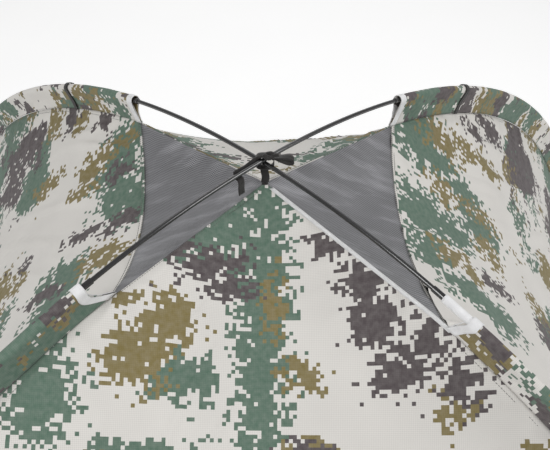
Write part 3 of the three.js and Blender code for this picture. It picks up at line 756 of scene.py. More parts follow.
# --- Front wall and door ---
DOOR_ORIGIN = np.array([0, -RIM_OUT, RIM_HEIGHT])
DOOR_UP = np.array([0, math.sin(DOOR_LEAN), math.cos(DOOR_LEAN)])
DOOR_OUT = np.array([0, -math.cos(DOOR_LEAN), math.sin(DOOR_LEAN)])
DOOR_RISE = DOOR_TOP - DOOR_SILL


def on_door(x, y, out=0.0):
    """A point of the flat door area: x across, y up the slope from the rim."""
    x, y, out = np.broadcast_arrays(*[np.asarray(v, float)[..., None] for v in (x, y, out)])
    return DOOR_ORIGIN + x * [1, 0, 0] + y * DOOR_UP + out * DOOR_OUT


def fold_at(y):
    """Half the door's width at y."""
    return DOOR_HALF_WIDTH * (DOOR_TOP - y) / DOOR_RISE


def door_coordinates(face):
    from_origin = np.asarray(face.calc_center_median()) - DOOR_ORIGIN
    return float(from_origin[0]), float(from_origin @ DOOR_UP)


def cut_front():
    """The front wall's cloth with lines cut into it along the door's folds and zips."""
    points, uv = wall_grid("front", line_at(WALL_TOP), rim_line, WALL_ROWS, 121, 40, 0.0100)
    mesh = bpy.data.meshes.new("front_cut")
    mesh.from_pydata(points.reshape(-1, 3).tolist(), [], quads(*points.shape[:2]).tolist())
    work = bmesh.new()
    work.from_mesh(mesh)
    bpy.data.meshes.remove(mesh)
    layer = work.loops.layers.uv.new("UVMap")
    flat_uv = uv.reshape(-1, 2)
    for face in work.faces:
        for loop in face.loops:
            loop[layer].uv = flat_uv[loop.vert.index]
    lines = []
    for sign in (-1, 1):
        along = Vector(on_door(sign * DOOR_HALF_WIDTH, DOOR_SILL) - on_door(0, DOOR_TOP))
        lines.append((on_door(0, DOOR_TOP), along.cross(Vector(DOOR_OUT))))
        lines += [(on_door(sign * x, 0), Vector((1, 0, 0))) for x in (ZIP_GAP, NOTCH_WIDTH)]
    for y in (DOOR_SILL - ZIP_GAP, DOOR_SILL + ZIP_GAP, NOTCH_TOP):
        lines.append((on_door(0, y), Vector(DOOR_UP)))
    for place, normal in lines:
        near = [f for f in work.faces if door_coordinates(f)[1] < DOOR_TOP + 0.1]
        edges = {e for f in near for e in f.edges}
        geometry = near + list(edges | {v for f in near for v in f.verts})
        bmesh.ops.bisect_plane(work, geom=geometry, dist=1e-6, plane_co=place, plane_no=normal)
    return work


def door_part(x, y):
    """Which part of the front a point lies on: the wall, a flap, or the gap of a zip."""
    if y < DOOR_SILL - ZIP_GAP or y > DOOR_TOP or abs(x) > fold_at(y):
        return "wall"
    notched = abs(x) < NOTCH_WIDTH and y < NOTCH_TOP
    if abs(x) < ZIP_GAP or y < DOOR_SILL + ZIP_GAP or notched:
        return "gap"
    return "left" if x < 0 else "right"


def front_piece(cuts, name, part, body, node):
    work = cuts.copy()
    away = [f for f in work.faces if door_part(*door_coordinates(f)) != part]
    bmesh.ops.delete(work, geom=away, context="FACES")
    mesh = bpy.data.meshes.new(name)
    work.to_mesh(mesh)
    work.free()
    piece = add_piece(name, mesh, CAMO["front"], body, node)
    solidify(piece, CLOTH)
    return piece


def make_front():
    cuts = cut_front()
    wall = front_piece(cuts, "wall_front_cloth", "wall", "tent", "wall_front")
    for side, sign in (("left", -1), ("right", 1)):
        body = f"door_flap_{side}"
        flap = front_piece(cuts, f"{body}_cloth", side, None, body)
        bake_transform(flap)
    cuts.free()


make_front()

# --- Poles ---
POLE_STEP = 0.012
POLE_SIDES = 24
CHAMFER = 0.0004
FERRULE_EASE = 0.0003


def run(radius, start, end):
    """Profile points from one arc length to another, evenly spaced, at one radius."""
    count = max(2, round(abs(end - start) / POLE_STEP) + 1)
    return [(radius, s) for s in np.linspace(start, end, count)]


def turned_bar(leg, profile):
    """A closed profile of (radius, s) turned about a leg's arc."""
    radius, s = np.array(profile).T[..., None]
    angle = np.linspace(0, math.tau, POLE_SIDES, endpoint=False)
    points = on_arc(leg, s, radius * np.sin(angle), radius * np.cos(angle))
    faces = quads(len(profile), POLE_SIDES, True, True)
    return points.reshape(-1, 3), faces, paired(angle[None] * ROD, s).reshape(-1, 2)


def pole(letter, leg):
    """A pole's sections, each but the last with a ferrule over the next one's start."""
    first = MIDDLE_SECTION / 2
    step = (POLE_END - first) / SIDE_SECTIONS
    joints = [first + k * step for k in range(SIDE_SECTIONS + 1)]
    stops = [-s for s in reversed(joints)] + joints
    for number, (start, end) in enumerate(zip(stops[:-1], stops[1:]), 1):
        start += CHAMFER
        profile = [(BORE, start), (ROD - CHAMFER, start)]
        if end == stops[-1]:
            profile += run(ROD, start + CHAMFER, end - CHAMFER)
            profile += [(ROD - CHAMFER, end), (BORE, end)]
        else:
            base, lip = end - FERRULE_HALF, end + FERRULE_HALF
            profile += run(ROD, start + CHAMFER, base)
            profile += [(FERRULE - FERRULE_EASE, base)]
            profile += run(FERRULE, base + FERRULE_EASE, lip - FERRULE_EASE)
            profile += [(FERRULE - FERRULE_EASE, lip), (ROD + CHAMFER, lip)]
            profile += [(ROD + CHAMFER, end), (BORE, end)]
        profile += run(BORE, end - 0.001, start + 0.001)
        part, node = turned_bar(leg, profile), f"pole_{letter}_section_{number}"
        piece = make_piece(f"pole_{letter}_rod_{number}", part, GLASS_FIBRE, node)
        piece.data.set_sharp_from_angle(angle=math.radians(40))


pole("a", "back_right")
pole("b", "back_left")

# --- Sleeves, mouth tapes, collar and fly loops ---
SLEEVE_RADIUS = 0.0078
NECK = 0.026  # where the sleeve's two sides close into a fin
SLEEVE_COLUMNS = 27
SLANT_FADE = 0.08
BAND_ROWS, BAND_THICK = 9, 0.0009
COLLAR_RADII = (0.0066, 0.0060)  # outwards and sideways


def sleeve_section(grow):
    """(side, out) round a sleeve from its foot on the +side, over the pole, to the other foot,
    and how far round it each point lies."""
    foot = FIN_DEPTH - 0.0004
    radius = SLEEVE_RADIUS + grow
    half = 0.0011 + grow
    top = [math.radians(a) for a in np.linspace(-22, 202, 13)]
    fin = [(half, -foot), (half + 0.0002, -(NECK + foot) / 2), (half + 0.0010, -NECK)]
    outline = fin + [(radius * math.cos(a), radius * math.sin(a)) for a in top]
    outline = np.array(outline + [(-x, y) for x, y in reversed(fin)])
    along = distance_along(outline)
    at = np.linspace(0, along[-1], SLEEVE_COLUMNS)
    return np.interp(at, along, outline[:, 0]), np.interp(at, along, outline[:, 1]), at


def sleeve_strip(leg, mouth, end, rows, grow, ripple, seed, dip=0.0, fade=SLANT_FADE):
    """Sleeve cloth from its mouth, given as the arc lengths at the pole and at the seam. The
    mouth's edge is slack, so that it dips between them. Its slant fades down the sleeve."""
    across, out, at = sleeve_section(grow)
    depth = np.maximum(0, -out) / FIN_DEPTH
    loose = np.sin(np.clip(depth, 0, 1) * math.pi)
    s = np.linspace(mouth[0], end, rows)[:, None]
    slant = (mouth[1] - mouth[0]) * depth + dip * loose
    s = s + slant * (1 - smoothstep(s - mouth[0], 0, fade))
    soft = noise_over(s[:, :1] * 26, at * 60, seed)
    sway = noise_over(s[:, :1] * 14, 3.1, seed + 9)
    tucks = np.sin(s * math.tau / 0.031 + 2.2 * soft + seed)
    push = ripple * (soft * (0.35 + loose) + 0.35 * tucks * loose)
    side = across + push * np.sign(across) * np.minimum(1, np.abs(across) / 0.001)
    side = side + sway * ripple * 1.6 * loose
    lift = LEGS[leg][1] * np.cos(s / POLE_RADIUS) * np.minimum(depth, 1)  # keeps the foot on the seam
    return on_arc(leg, s, out + push * 0.6 * (out > 0) - lift, side), paired(at, -s)


def make_sleeve(corner, seed):
    at_pole, at_seam = MOUTHS[corner]
    slant, dip = at_seam - at_pole, MOUTH_DIP[corner]
    start = at_pole - MOUTH_TAPE / 2
    mouth = (start + 0.001, start + 0.001 + slant)
    points, uv = sleeve_strip(corner, mouth, SLEEVE_FOOT, 230, 0.0, 0.0016, seed * 3 + 1, dip)
    grid = points, uv + [seed * 0.31, 0]
    sleeve = sheet_piece(f"sleeve_{corner}_cloth", grid, CLOTH * 0.8, CAMO["sleeves"], f"sleeve_{corner}")
    mouth, end = (start, start + slant), at_pole + MOUTH_TAPE / 2
    grid = sleeve_strip(corner, mouth, end, BAND_ROWS, 0.0012, 0.0006, seed + 40, dip, fade=10)
    sheet_piece(f"mouth_tape_{corner}_band", grid, BAND_THICK, WHITE_TAPE, f"mouth_tape_{corner}")
    mouth, end = (FLY_LOOP_AT, FLY_LOOP_AT), FLY_LOOP_AT + FLY_LOOP_WIDTH
    grid = sleeve_strip(corner, mouth, end, BAND_ROWS, 0.0028, 0.0004, seed + 60)
    sheet_piece(f"fly_loop_{corner}_tape", grid, 0.0013, BLACK_TAPE, f"fly_loop_{corner}")


for seed, corner in enumerate(MOUTHS):
    make_sleeve(corner, seed)


def make_collar():
    """The white hem round the pole where it enters the front right sleeve."""
    angle = np.linspace(0, math.tau, 20, endpoint=False)[None]
    s = np.linspace(COLLAR_START, MOUTHS["front_right"][0], 14)[:, None]
    out, side = COLLAR_RADII[0] * np.sin(angle), COLLAR_RADII[1] * np.cos(angle)
    grid = on_arc("front_right", s, out, side), paired(angle * COLLAR_RADII[1], s)
    name = "sleeve_collar_front_right"
    sheet_piece("sleeve_collar_hem", grid, BAND_THICK, WHITE_TAPE, name, closed=True)


make_collar()

# --- Hems, seam tape and stitching ---
HEM_LIFT = 0.0010
STITCH_LENGTH, STITCH_PITCH, STITCH_RADIUS = 0.0031, 0.0044, 0.00036
VENT_STITCH_RADIUS = 0.00055
VENT_EDGE_START, SEAM_STITCH_START = 0.020, 0.392  # arc lengths
SEAM_STITCH_END = RIM - 0.012
HEM_WIDTH, SEAM_WIDTH = 0.009, 0.010


def edge_band(wall, sign, start, end, width, rows, lift=HEM_LIFT):
    """A strip of wall cloth along one of the wall's side seams."""
    s = np.linspace(start, end, rows)[:, None]
    inset = np.linspace(width, 0.0004, 4)[::sign]
    u = sign * (1 - inset / half_width(s))
    return on_wall(wall, u, s, lift), cloth_uv(u, s)


def cross_band(wall, reach, line, rows, columns):
    """A strip of wall cloth across the wall, from a line and down by each of some rows."""
    u = np.tile(np.linspace(-reach, reach, columns), (len(rows), 1))
    s = line(u) + np.asarray(rows)[:, None]
    return on_wall(wall, u, s, HEM_LIFT), cloth_uv(u, s)


def stitch_mesh(line, normals, radius):
    """Thread stitches laid along a line on the cloth."""
    along = distance_along(line)
    at = np.arange(STITCH_PITCH / 2, along[-1] - STITCH_PITCH / 2, STITCH_PITCH)

    def between(values, at):
        return np.stack([np.interp(at, along, column) for column in values.T], axis=-1)

    centre = between(line, at)
    tangent = unit(between(line, at + STITCH_PITCH / 2) - centre)
    side = unit(np.cross(between(normals, at), tangent))
    up = np.cross(tangent, side)
    reach = np.array([-0.5, -0.3, 0.3, 0.5])[:, None] * STITCH_LENGTH
    girth = np.array([0.45, 1.0, 1.0, 0.45])[:, None] * radius
    sink = np.array([-0.9, 0.1, 0.1, -0.9])[:, None] * radius
    angle = np.arange(5) * math.tau / 5
    spans = (reach + 0 * angle, girth * np.cos(angle), girth * np.sin(angle) + sink)
    ring = sum(way[:, None, None] * span[..., None] for way, span in zip((tangent, side, up), spans))
    vertices = (centre[:, None, None] + ring).reshape(-1, 3)
    stitch = quads(4, 5, join_columns=True)[:, ::-1].tolist() + [[4, 3, 2, 1, 0], [15, 16, 17, 18, 19]]
    faces = [[i + 20 * k for i in face] for k in range(len(at)) for face in stitch]
    return vertices, faces, vertices[:, :2]


def stitched_strip(name, grid, wall, insets, along_rows=False, hemmed=True, radius=STITCH_RADIUS):
    """A hem strip, and a row of stitches along each inset (a share of the strip's width)."""
    if hemmed:
        sheet_piece(name, grid, HEM_LIFT * 0.8, CAMO[wall])
    lines, normals = grid[0], grid_normals(grid[0])
    if not along_rows:
        lines, normals = lines.swapaxes(0, 1), normals.swapaxes(0, 1)
    parts = []
    for share in insets:
        at = share * (len(lines) - 1)
        low, part = int(at), at - int(at)
        line = lines[low] * (1 - part) + lines[low + 1] * part
        parts.append(stitch_mesh(line + normals[low] * 0.0002, normals[low], radius))
    make_piece(f"{name}_stitches", merge(parts), THREAD)


for wall in ("left", "right"):
    grid = cross_band(wall, 0.998, base_of(wall), np.linspace(-0.001, 0.008, 4), 80)
    stitched_strip(f"vent_hem_{wall}", grid, wall, (0.06, 0.75), True, radius=VENT_STITCH_RADIUS)
for corner, wall, sign in (("front_left", "front", -1), ("back_left", "back", 1), ("back_right", "back", -1)):
    grid = edge_band(wall, sign, VENT_EDGE_START, MOUTHS[corner][1], HEM_WIDTH, 50)
    stitched_strip(f"vent_edge_{corner}", grid, wall, (0.2, 0.8))
for wall in WALL_TURNS:
    for sign, side, inset in ((-1, "a", 0.9), (1, "b", 0.1)):
        ends = SEAM_STITCH_START, SEAM_STITCH_END
        grid = edge_band(wall, sign, *ends, SEAM_WIDTH, 140, lift=0.0001)
        stitched_strip(f"seam_{wall}_{side}", grid, wall, (inset,), hemmed=False)
    grid = cross_band(wall, 0.999, line_at(0.0), np.linspace(RIM - 0.014, RIM - 0.0008, 4), 120)
    stitched_strip(f"rim_hem_{wall}", grid, wall, (0.12, 0.75), True)


def make_vent_seam_tape():
    """The ribbed white tape over the seam between the front wall and the right vent."""
    s = np.linspace(0.018, MOUTHS["front_right"][1] + 0.004, 90)[:, None]
    on_front = 1 - np.array([0.0050, 0.0026, 0.0003]) / half_width(s)
    on_vent = np.array([0.0003, 0.0024, 0.0046]) / half_width(s) - 1
    halves = [on_wall("front", on_front, s, 0.0016), on_wall("right", on_vent, s, 0.0016)]
    grid = np.concatenate(halves, axis=1), paired(s, np.linspace(0, 0.0097, 6))
    sheet_piece("vent_seam_tape", grid, 0.0012, RIBBED_TAPE)


make_vent_seam_tape()


# --- Apex tie ---
def ribbon(path, across, width=0.012, thickness=0.0014):
    """A narrow tape along a path; across is its width's direction, one or one per point."""
    path = np.asarray(path, float)
    across = unit(np.broadcast_to(np.asarray(across, float), path.shape))
    place = np.linspace(-0.5, 0.5, 5) * width
    points = path[:, None] + across[:, None] * place[None, :, None]
    points = points + grid_normals(points) * thickness / 2
    return sheet_mesh(points, paired(place, -distance_along(path)[:, None]), thickness)


def curve_through(points, count):
    """A smooth open curve through points, as Catmull-Rom."""
    p = np.asarray(points, float)
    p = np.concatenate([[2 * p[0] - p[1]], p, [2 * p[-1] - p[-2]]])
    result = []
    for t in np.linspace(0, len(p) - 3 - 1e-6, count):
        k, f = int(t), t - int(t)
        a, b, c, d = p[k:k + 4]
        square, cube = 2 * a - 5 * b + 4 * c - d, 3 * b - a - 3 * c + d
        result.append(0.5 * (2 * b + (c - a) * f + square * f ** 2 + cube * f ** 3))
    return np.array(result)


def tie_cap():
    """The cap over the walls' meeting point."""
    s = np.linspace(0.0012, 0.007, 4)[:, None]
    u = np.linspace(-1, 1, 9)[:-1]
    cap = np.concatenate([on_wall(wall, u, s, 0.0012) for wall in WALL_TURNS], axis=1)
    return sheet_mesh(cap, cap[..., :2], 0.0010, closed=True)


def tie_loop():
    """The tape's turn round both poles, as a square-cornered ring."""
    turn = np.linspace(0, math.tau, 41)[:-1]
    across, over = [np.sign(way) * np.abs(way) ** 0.55 for way in (np.cos(turn), np.sin(turn))]
    loop = np.stack([0.0125 * across, 0 * turn, APEX_HEIGHT + 0.0104 * over], axis=-1)
    width = np.linspace(-0.006, 0.006, 5)[:, None]
    band = loop[::-1] + width[..., None] * [0, 1, 0]
    return sheet_mesh(band, paired(width, turn * 0.012), 0.0014, closed=True)


def tie_knot():
    turn = np.linspace(0, math.tau, 33)
    knot = np.stack([
        0.0040 + 0.0060 * np.cos(turn) + 0.0020 * np.cos(2 * turn),
        -0.0010 + 0.0052 * np.sin(turn),
        APEX_HEIGHT + 0.0108 + 0.0022 * np.sin(2 * turn + 0.4),
    ], axis=-1)
    return tube_mesh(knot, 0.0034, 10, flat=0.75)


def tie_bow():
    turn = np.linspace(math.pi * 1.06, -math.pi * 0.94, 44)
    path = np.stack([
        0.0275 + 0.0150 * np.cos(turn),
        -0.002 + 0.0020 * np.sin(turn * 2),
        APEX_HEIGHT + 0.0052 + 0.0042 * np.sin(turn) - 0.0022 * np.cos(turn),
    ], axis=-1)
    lean = 0.35 * np.cos(turn)
    return ribbon(path, np.stack([0 * turn, np.cos(lean), np.sin(lean)], axis=-1), 0.0105)


def tie_tail():
    """The tape's end along the front left pole, and the last of it, which hangs down."""
    s = np.linspace(0.004, 0.056, 24)
    side = 0.0052 + 0.0004 * np.sin(s * 90)
    laid = on_arc("front_left", s, 0.0015 + 0.0012 * np.sin(s * 120), side)
    upward = on_arc("front_left", s, 0.01, 0.0052) - on_arc("front_left", s, 0.0, 0.0052)
    drops = [
        (0.0058, 0.0042), (0.0058, -0.0030), (0.0030, -0.0062), (-0.0035, -0.0070),
        (-0.0055, -0.0130), (-0.0050, -0.0220), (-0.0062, -0.0320),
    ]
    hung = [on_arc("front_left", 0.052 + 0.0004 * k, out, side) for k, (side, out) in enumerate(drops)]
    along_pole = on_arc("front_left", 0.06) - on_arc("front_left", 0.05)
    return [ribbon(laid, upward, 0.0095), ribbon(curve_through(hung, 26), along_pole, 0.0115)]


def make_tie():
    strap = curve_through([
        (0.000, 0.001, 1.2600), (0.001, -0.001, 1.272), (-0.001, 0.000, 1.284), (0, 0, 1.2905),
    ], 16)
    wrap = curve_through([
        (0.0145, -0.006, APEX_HEIGHT + 0.0062), (0.0160, -0.0015, APEX_HEIGHT + 0.0122),
        (0.0150, 0.004, APEX_HEIGHT + 0.0112), (0.0130, 0.0075, APEX_HEIGHT + 0.0040),
    ], 18)
    parts = [
        tie_cap(), ribbon(strap, (1, 0.06, 0)), tie_loop(), tie_knot(),
        ribbon(wrap, (1, 0.1, 0), 0.0085, 0.0016), tie_bow(), *tie_tail(),
    ]
    make_piece("apex_tie_tape", merge(parts), BLACK_TAPE, "apex_tie")


make_tie()

# --- Groundsheet ---
TRAY_CELLS = 88
TRAY_RISE = (0.012, 0.030, 0.052, 0.0796)


def tray_reach(height):
    return math.sqrt(SEAM_RADIUS ** 2 - (height - ARC_CENTRE) ** 2)


def make_groundsheet():
    """One sheet: a floor with low creases, turned up at its edges to meet the walls."""
    half = tray_reach(0) / math.sqrt(2)
    axis = np.linspace(-1, 1, TRAY_CELLS + 1) * half
    x, y = np.meshgrid(axis, axis)
    inner = 1 - np.maximum(np.abs(x), np.abs(y)) / half
    crease = noise_over(x * 4.2, y * 4.2, 3) + 0.4 * noise_over(x * 13, y * 13, 8)
    z = 0.0004 + np.maximum(0, crease) * 0.005 * np.minimum(inner / 0.02, 1)
    vertices = np.stack([x, y, z], axis=-1).reshape(-1, 3).tolist()
    uvs = np.stack([x, y], axis=-1).reshape(-1, 2).tolist()
    index = np.arange(x.size).reshape(x.shape)
    faces = quads(*x.shape)[:, ::-1].tolist()
    border = np.concatenate([index[0, :-1], index[:-1, -1], index[-1, :0:-1], index[:0:-1, 0]])
    below = border
    for height in TRAY_RISE:
        scale = tray_reach(height) / tray_reach(0)
        above = len(vertices) + np.arange(len(border))
        for k, corner in enumerate(border):
            px, py, _ = vertices[corner]
            ripple = math.sin(k * 0.9 + height * 40) if 0.02 < height < 0.07 else 0
            wave = 1 + 0.0007 * ripple - 0.0007
            vertices.append([px * scale * wave, py * scale * wave, height])
            uvs.append([px * (1 + height), py * (1 + height)])
        ahead = [np.roll(line, -1) for line in (below, above)]
        faces += np.stack([below, ahead[0], ahead[1], above], axis=-1).tolist()
        below = above
    outward = [face[::-1] for face in faces]
    tray = make_piece("groundsheet_tray", (vertices, outward, uvs), GROUNDSHEET, "groundsheet")
    solidify(tray, 0.0008)


make_groundsheet()

# --- Corner hardware ---
RING_HEIGHT = 0.011
EYE_RADIUS, PIN_RADIUS, PIN_INSERT = 0.0042, 0.0013, 0.038
RING_RADIUS, WIRE_RADIUS = 0.011, 0.0015


def torus(radius, wire, count):
    """A ring in the XY plane about the origin, as a closed mesh."""
    sides = 14
    turn = np.linspace(0, math.tau, count, endpoint=False)[:, None]
    round_wire = np.linspace(0, math.tau, sides, endpoint=False)[None]
    away = radius + wire * np.cos(round_wire)
    points = [away * np.cos(turn), away * np.sin(turn), wire * np.sin(round_wire) + 0 * turn]
    points = np.stack(points, axis=-1).reshape(-1, 3)
    return points, quads(count, sides, True, True), paired(turn * radius, round_wire * wire).reshape(-1, 2)


def make_corner(corner):
    """The pin in a pole's end, the ring in the pin's eye and the webbing that holds the ring."""
    foot, above = on_arc(corner, POLE_END), on_arc(corner, POLE_END - PIN_INSERT)
    down = unit(foot - above)
    eye = foot + down * (foot[2] - RING_HEIGHT) / -down[2]
    frame_at = Matrix.Translation(eye) @ Matrix.Rotation(LEGS[corner][0], 4, "Z")
    shaft = [above, above + down * 0.0006]
    shaft += [above + (eye - down * EYE_RADIUS - above) * t for t in np.linspace(0.1, 1, 10)]
    widths = [PIN_RADIUS * 0.6] + [PIN_RADIUS] * 11
    upright = frame_at @ Matrix.Rotation(math.pi / 2, 4, "X")
    pin = merge([tube_mesh(shaft, widths, 16), placed(torus(EYE_RADIUS, PIN_RADIUS, 32), upright)])
    make_piece(f"pin_{corner}", pin, STEEL, f"corner_pin_{corner}")
    aside = frame_at @ Matrix.Translation((-RING_RADIUS, 0, 0))
    ring = placed(torus(RING_RADIUS, WIRE_RADIUS, 40), aside)
    make_piece(f"ring_{corner}", ring, STEEL, f"corner_ring_{corner}")
    end = tray_reach(RING_HEIGHT) + 0.0008 - math.hypot(eye[0], eye[1])
    link = -2 * RING_RADIUS + 0.0026
    bend = [
        (link + 0.0018 * math.cos(a), 0.0034 * math.sin(a))
        for a in np.linspace(-math.pi / 2, math.pi / 2, 13)
    ]
    path = [frame_at @ Vector((x, 0, z)) for x, z in [(end, -0.0034), *bend, (end, 0.0034)]]
    across = frame_at.to_3x3() @ Vector((0, 1, 0))
    webbing = ribbon(path, across, 0.010, 0.0013)
    make_piece(f"webbing_{corner}", webbing, BLACK_TAPE, f"corner_tab_{corner}")


for corner in LEGS:
    make_corner(corner)

# --- Zips ---
DOOR = Matrix((
    (1, 0, 0, 0),
    (0, DOOR_UP[1], DOOR_OUT[1], -RIM_OUT),
    (0, DOOR_UP[2], DOOR_OUT[2], RIM_HEIGHT),
    (0, 0, 0, 1),
))
TAPE_WIDTH, TAPE_GAP, TAPE_LOW, TAPE_THICK = 0.0112, 0.0008, 0.0003, 0.0014
TAPE_MIDDLE = TAPE_GAP + TAPE_WIDTH / 2
TOOTH_PITCH = 0.0026
TOOTH_ASIDE = 0.0006  # how far a coil lies from its zip's centreline
SLIDER_ROOM = 0.0075
SLIDERS = {"centre": (0, 0.052), "left": (-0.015, DOOR_SILL), "right": (0.015, DOOR_SILL)}


def band_grid(path, sign):
    """A tape's grid in door coordinates along a square-cornered path, mitred at its corners."""
    path = np.array(path)
    step = unit(np.diff(path, axis=0))
    left = np.stack([-step[:, 1], step[:, 0]], axis=-1)
    before, after = np.vstack([left[:1], left]), np.vstack([left, left[-1:]])
    mitre = (before + after) / (1 + np.sum(before * after, axis=1))[:, None]
    across = np.linspace(-0.5, 0.5, 5) * TAPE_WIDTH
    corners = path[:, None] + mitre[:, None] * across[None, :, None]
    reached = distance_along(path)
    at = [reached[-1:]]
    for start, end in zip(reached[-2::-1], reached[:0:-1]):
        at.insert(0, np.linspace(start, end, max(1, round((end - start) / 0.02)), endpoint=False))
    along = np.concatenate(at)
    rows = [[np.interp(along, reached, corners[:, k, axis]) for axis in (0, 1)] for k in range(5)]
    grid, uv = np.array(rows).transpose(2, 0, 1) * [sign, 1], paired(across, -along[:, None])
    return (grid, uv) if sign > 0 else (grid[:, ::-1], uv[:, ::-1])


def zip_tape(name, path, sign, body):
    grid, uv = band_grid(path, sign)
    points = on_door(grid[..., 0], grid[..., 1], TAPE_LOW + TAPE_THICK)
    sheet_piece(f"{name}_web", (points, uv), TAPE_THICK, ZIP_TAPE, name, body)


def coil(name, start, end, shift, lean, body):
    """One side of a zip's coil: a tooth every pitch along a line, reaching over by lean. The
    teeth under a slider at rest are left out."""
    start, end, lean = (np.array(v, float) for v in (start, end, lean))
    length = np.linalg.norm(end - start)
    parts = []
    for at in np.arange(0.002 + shift, length - 0.002, TOOTH_PITCH):
        place = start + unit(end - start) * at
        if any(np.linalg.norm(place - slider) < SLIDER_ROOM for slider in SLIDERS.values()):
            continue
        arch = ((-0.0024, 0.0015), (-0.0008, 0.0016), (0.0004, 0.0014), (0.0008, 0.0010))
        path = [on_door(*(place + lean * reach), high) for reach, high in arch]
        parts.append(tube_mesh(path, [0.0003, 0.0004, 0.0004, 0.0003], 6, up=DOOR_OUT))
    make_piece(name, merge(parts), COIL, body=body)


def make_zips():
    low = DOOR_SILL + TAPE_MIDDLE
    tape_end = fold_at(DOOR_SILL + TAPE_GAP) - 0.024
    tape_top = DOOR_TOP - (TAPE_GAP + TAPE_WIDTH) * DOOR_RISE / DOOR_HALF_WIDTH - 0.008
    turn = NOTCH_WIDTH + TAPE_WIDTH / 2
    step_up = NOTCH_TOP + TAPE_WIDTH / 2
    route = [(TAPE_MIDDLE, tape_top), (TAPE_MIDDLE, step_up), (turn, step_up), (turn, low), (tape_end, low)]
    for side, sign in (("left", -1), ("right", 1)):
        flap = f"door_flap_{side}"
        zip_tape(f"zip_tape_{side}", route, sign, flap)
        at, shift = sign * TOOTH_ASIDE, 0 if sign > 0 else TOOTH_PITCH / 2
        coil(f"coil_centre_{side}", (at, NOTCH_TOP), (at, tape_top), shift, (-sign, 0), flap)
        ends = [(sign * x, DOOR_SILL + TOOTH_ASIDE) for x in (NOTCH_WIDTH, tape_end)]
        coil(f"coil_sill_{side}", *ends, TOOTH_PITCH / 2, (0, -1), flap)
    half = fold_at(DOOR_SILL) - 0.006
    zip_tape("zip_tape_sill", [(x, DOOR_SILL - TAPE_MIDDLE) for x in (-half, half)], 1, "tent")
    coil("coil_sill", *[(x, DOOR_SILL - TOOTH_ASIDE) for x in (-half, half)], 0, (0, 1), "tent")


make_zips()

# --- Zip sliders and their pull tabs ---
BAR_HEIGHT, BAR_HALF, CHEEK = 0.0056, 0.0029, 0.0010
TAB_LENGTH, TAB_BORE = 0.025, 0.0011
SHARP = math.radians(35)


def oblong(half_x, half_y, power=0.45, at_x=0.0):
    """An outline between an ellipse and a rectangle."""
    turn = np.linspace(0, math.tau, 32, endpoint=False)
    x, y = [np.sign(way) * np.abs(way) ** power for way in (np.cos(turn), np.sin(turn))]
    return np.column_stack([half_x * x + at_x, half_y * y])


def rounded_slab(outline, low, high, soft=0.0004):
    """A flat outline (x, y) raised from low to high, with its upper and lower edges eased."""
    inner = outline + unit(outline.mean(axis=0) - outline) * soft
    levels = [(inner, low), (outline, low + soft), (outline, high - soft), (inner, high)]
    points = np.concatenate([np.column_stack([ring, np.full(len(ring), z)]) for ring, z in levels])
    n = len(outline)
    faces = quads(4, n, join_columns=True)[:, ::-1].tolist()
    faces += [list(range(n - 1, -1, -1)), list(range(3 * n, 4 * n))]
    return points, faces, points[:, :2]


def make_slider(side, at_door):
    """Two plates joined by a web, and a bar between two cheeks for the pull tab."""
    w, l = (0.0045, 0.006) if side == "centre" else (0.006, 0.0045)
    web = (0.00045, l * 0.95) if side == "centre" else (w * 0.95, 0.00045)
    parts = [
        rounded_slab(oblong(w, l), -0.0013, -0.0001),
        rounded_slab(oblong(w, l), 0.0021, 0.0033),
        rounded_slab(oblong(*web), -0.0008, 0.0028, 0.0001),
        tube_mesh([(t, 0, BAR_HEIGHT) for t in np.linspace(-0.0034, 0.0034, 5)], 0.0006, 10),
    ]
    for sign in (-1, 1):
        out = sign * (BAR_HALF + CHEEK / 2)
        cheek = rounded_slab(oblong(0.0014, 0.0016, 0.7), -CHEEK / 2, CHEEK / 2, 0.0002)
        stand = Matrix.Translation((out, 0, 0.0052)) @ Matrix.Rotation(math.pi / 2, 4, "Y")
        foot = rounded_slab(oblong(CHEEK / 2, 0.0014, 0.4, out), 0.0030, 0.0056, 0.0001)
        parts += [placed(cheek, stand), foot]
    body = f"zip_slider_{side}"
    piece = make_piece(f"slider_{side}", placed(merge(parts), at_door), DARK_METAL, body, body)
    piece.data.set_sharp_from_angle(angle=SHARP)


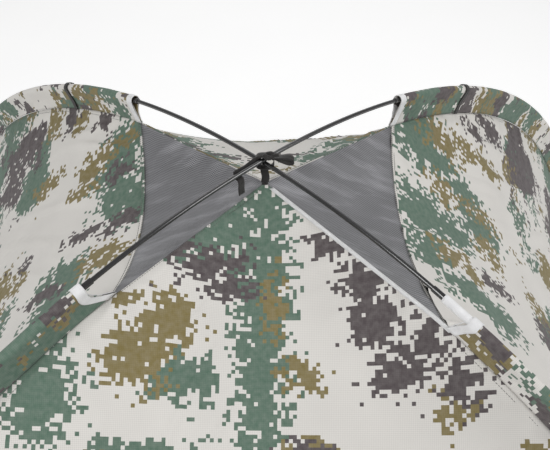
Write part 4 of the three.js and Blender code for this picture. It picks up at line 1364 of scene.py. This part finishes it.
def make_tab(side, at_door):
    """A flat tongue with a round eye, as an outline and its bore carried across the tab's width."""
    profile = [(-TAB_LENGTH, 0.0006), (-0.024, 0.0007), (-0.006, 0.0006), (-0.003, 0.0008)]
    profile += [(0.0021 * math.cos(a), 0.0021 * math.sin(a)) for a in np.linspace(2.6, 0, 12)]
    outer = profile + [(y, -z) for y, z in profile[-2::-1]]
    across = np.array([-0.5, -0.46, 0.46, 0.5]) * (2 * BAR_HALF - 0.0008)
    rings = [[(x, y, z * k) for y, z in outer] for x, k in zip(across, (0.86, 1, 1, 0.86))]
    turn = np.linspace(math.pi, -math.pi, len(outer), endpoint=False)
    rings += [[(x, TAB_BORE * math.cos(a), TAB_BORE * math.sin(a)) for a in turn] for x in across[[3, 0]]]
    points = np.array(rings).reshape(-1, 3)
    part = points, quads(6, len(outer), True, True)[:, ::-1], points[:, :2]
    raised = at_door @ Matrix.Translation((0, 0, BAR_HEIGHT))
    body = f"pull_tab_{side}"
    piece = make_piece(f"tab_{side}", placed(part, raised), DARK_METAL, body, body)
    piece.data.set_sharp_from_angle(angle=SHARP)


for side, (x, y) in SLIDERS.items():
    at_door = DOOR @ Matrix.Translation((x, y, 0))
    make_slider(side, at_door)
    make_tab(side, at_door)

for letter in "ab":
    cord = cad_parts[f"shock_cord_{letter}"]
    cord.data.materials.clear()
    cord.data.materials.append(CORD[0])

# --- Stage ---
FLOOR_SIZE = 14.0
LAMPS = {  # place, size and power
    "key": ((-1.6, -2.1, 3.4), 1.5, 55),
    "fill": ((2.9, -0.7, 3.0), 1.5, 44),
    "back": ((0.0, 3.5, 4.0), 4.0, 45),
}
LAMP_TARGET = Vector((0, 0, 0.8))
WHITE = (1, 1, 1, 1)


def make_floor():
    """A pale floor with some light of its own, so that it comes out as white as in the photo."""
    mesh = bpy.data.meshes.new("floor")
    size = FLOOR_SIZE
    corners = [(-size, -size, 0), (size, -size, 0), (size, size, 0), (-size, size, 0)]
    mesh.from_pydata(corners, [], [(0, 1, 2, 3)])
    floor = bpy.data.objects.new("floor", mesh)
    floor.location.z = -0.0005
    bpy.context.scene.collection.objects.link(floor)
    shader = Shader("studio_floor", None, 0.9, specular=0.1)
    shader.set("Emission Color", WHITE)
    shader.set("Emission Strength", 0.33)
    grain = shader.noise(shader.place(), 3.0, 4)
    material, _ = shader.finish(shader.mix(grain, (0.92, 0.92, 0.92, 1), (0.95, 0.95, 0.95, 1)))
    mesh.materials.append(material)


def make_lights():
    world = bpy.data.worlds.new("studio")
    world.use_nodes = True
    background = world.node_tree.nodes["Background"]
    background.inputs["Color"].default_value = WHITE
    background.inputs["Strength"].default_value = 0.36
    bpy.context.scene.world = world
    for name, (place, size, power) in LAMPS.items():
        data = bpy.data.lights.new(name, "AREA")
        data.size = size
        data.energy = power
        lamp = bpy.data.objects.new(name, data)
        lamp.location = place
        lamp.rotation_euler = (LAMP_TARGET - Vector(place)).to_track_quat("-Z", "Y").to_euler()
        bpy.context.scene.collection.objects.link(lamp)
    bpy.context.scene.view_settings.view_transform = "Standard"


make_floor()
make_lights()
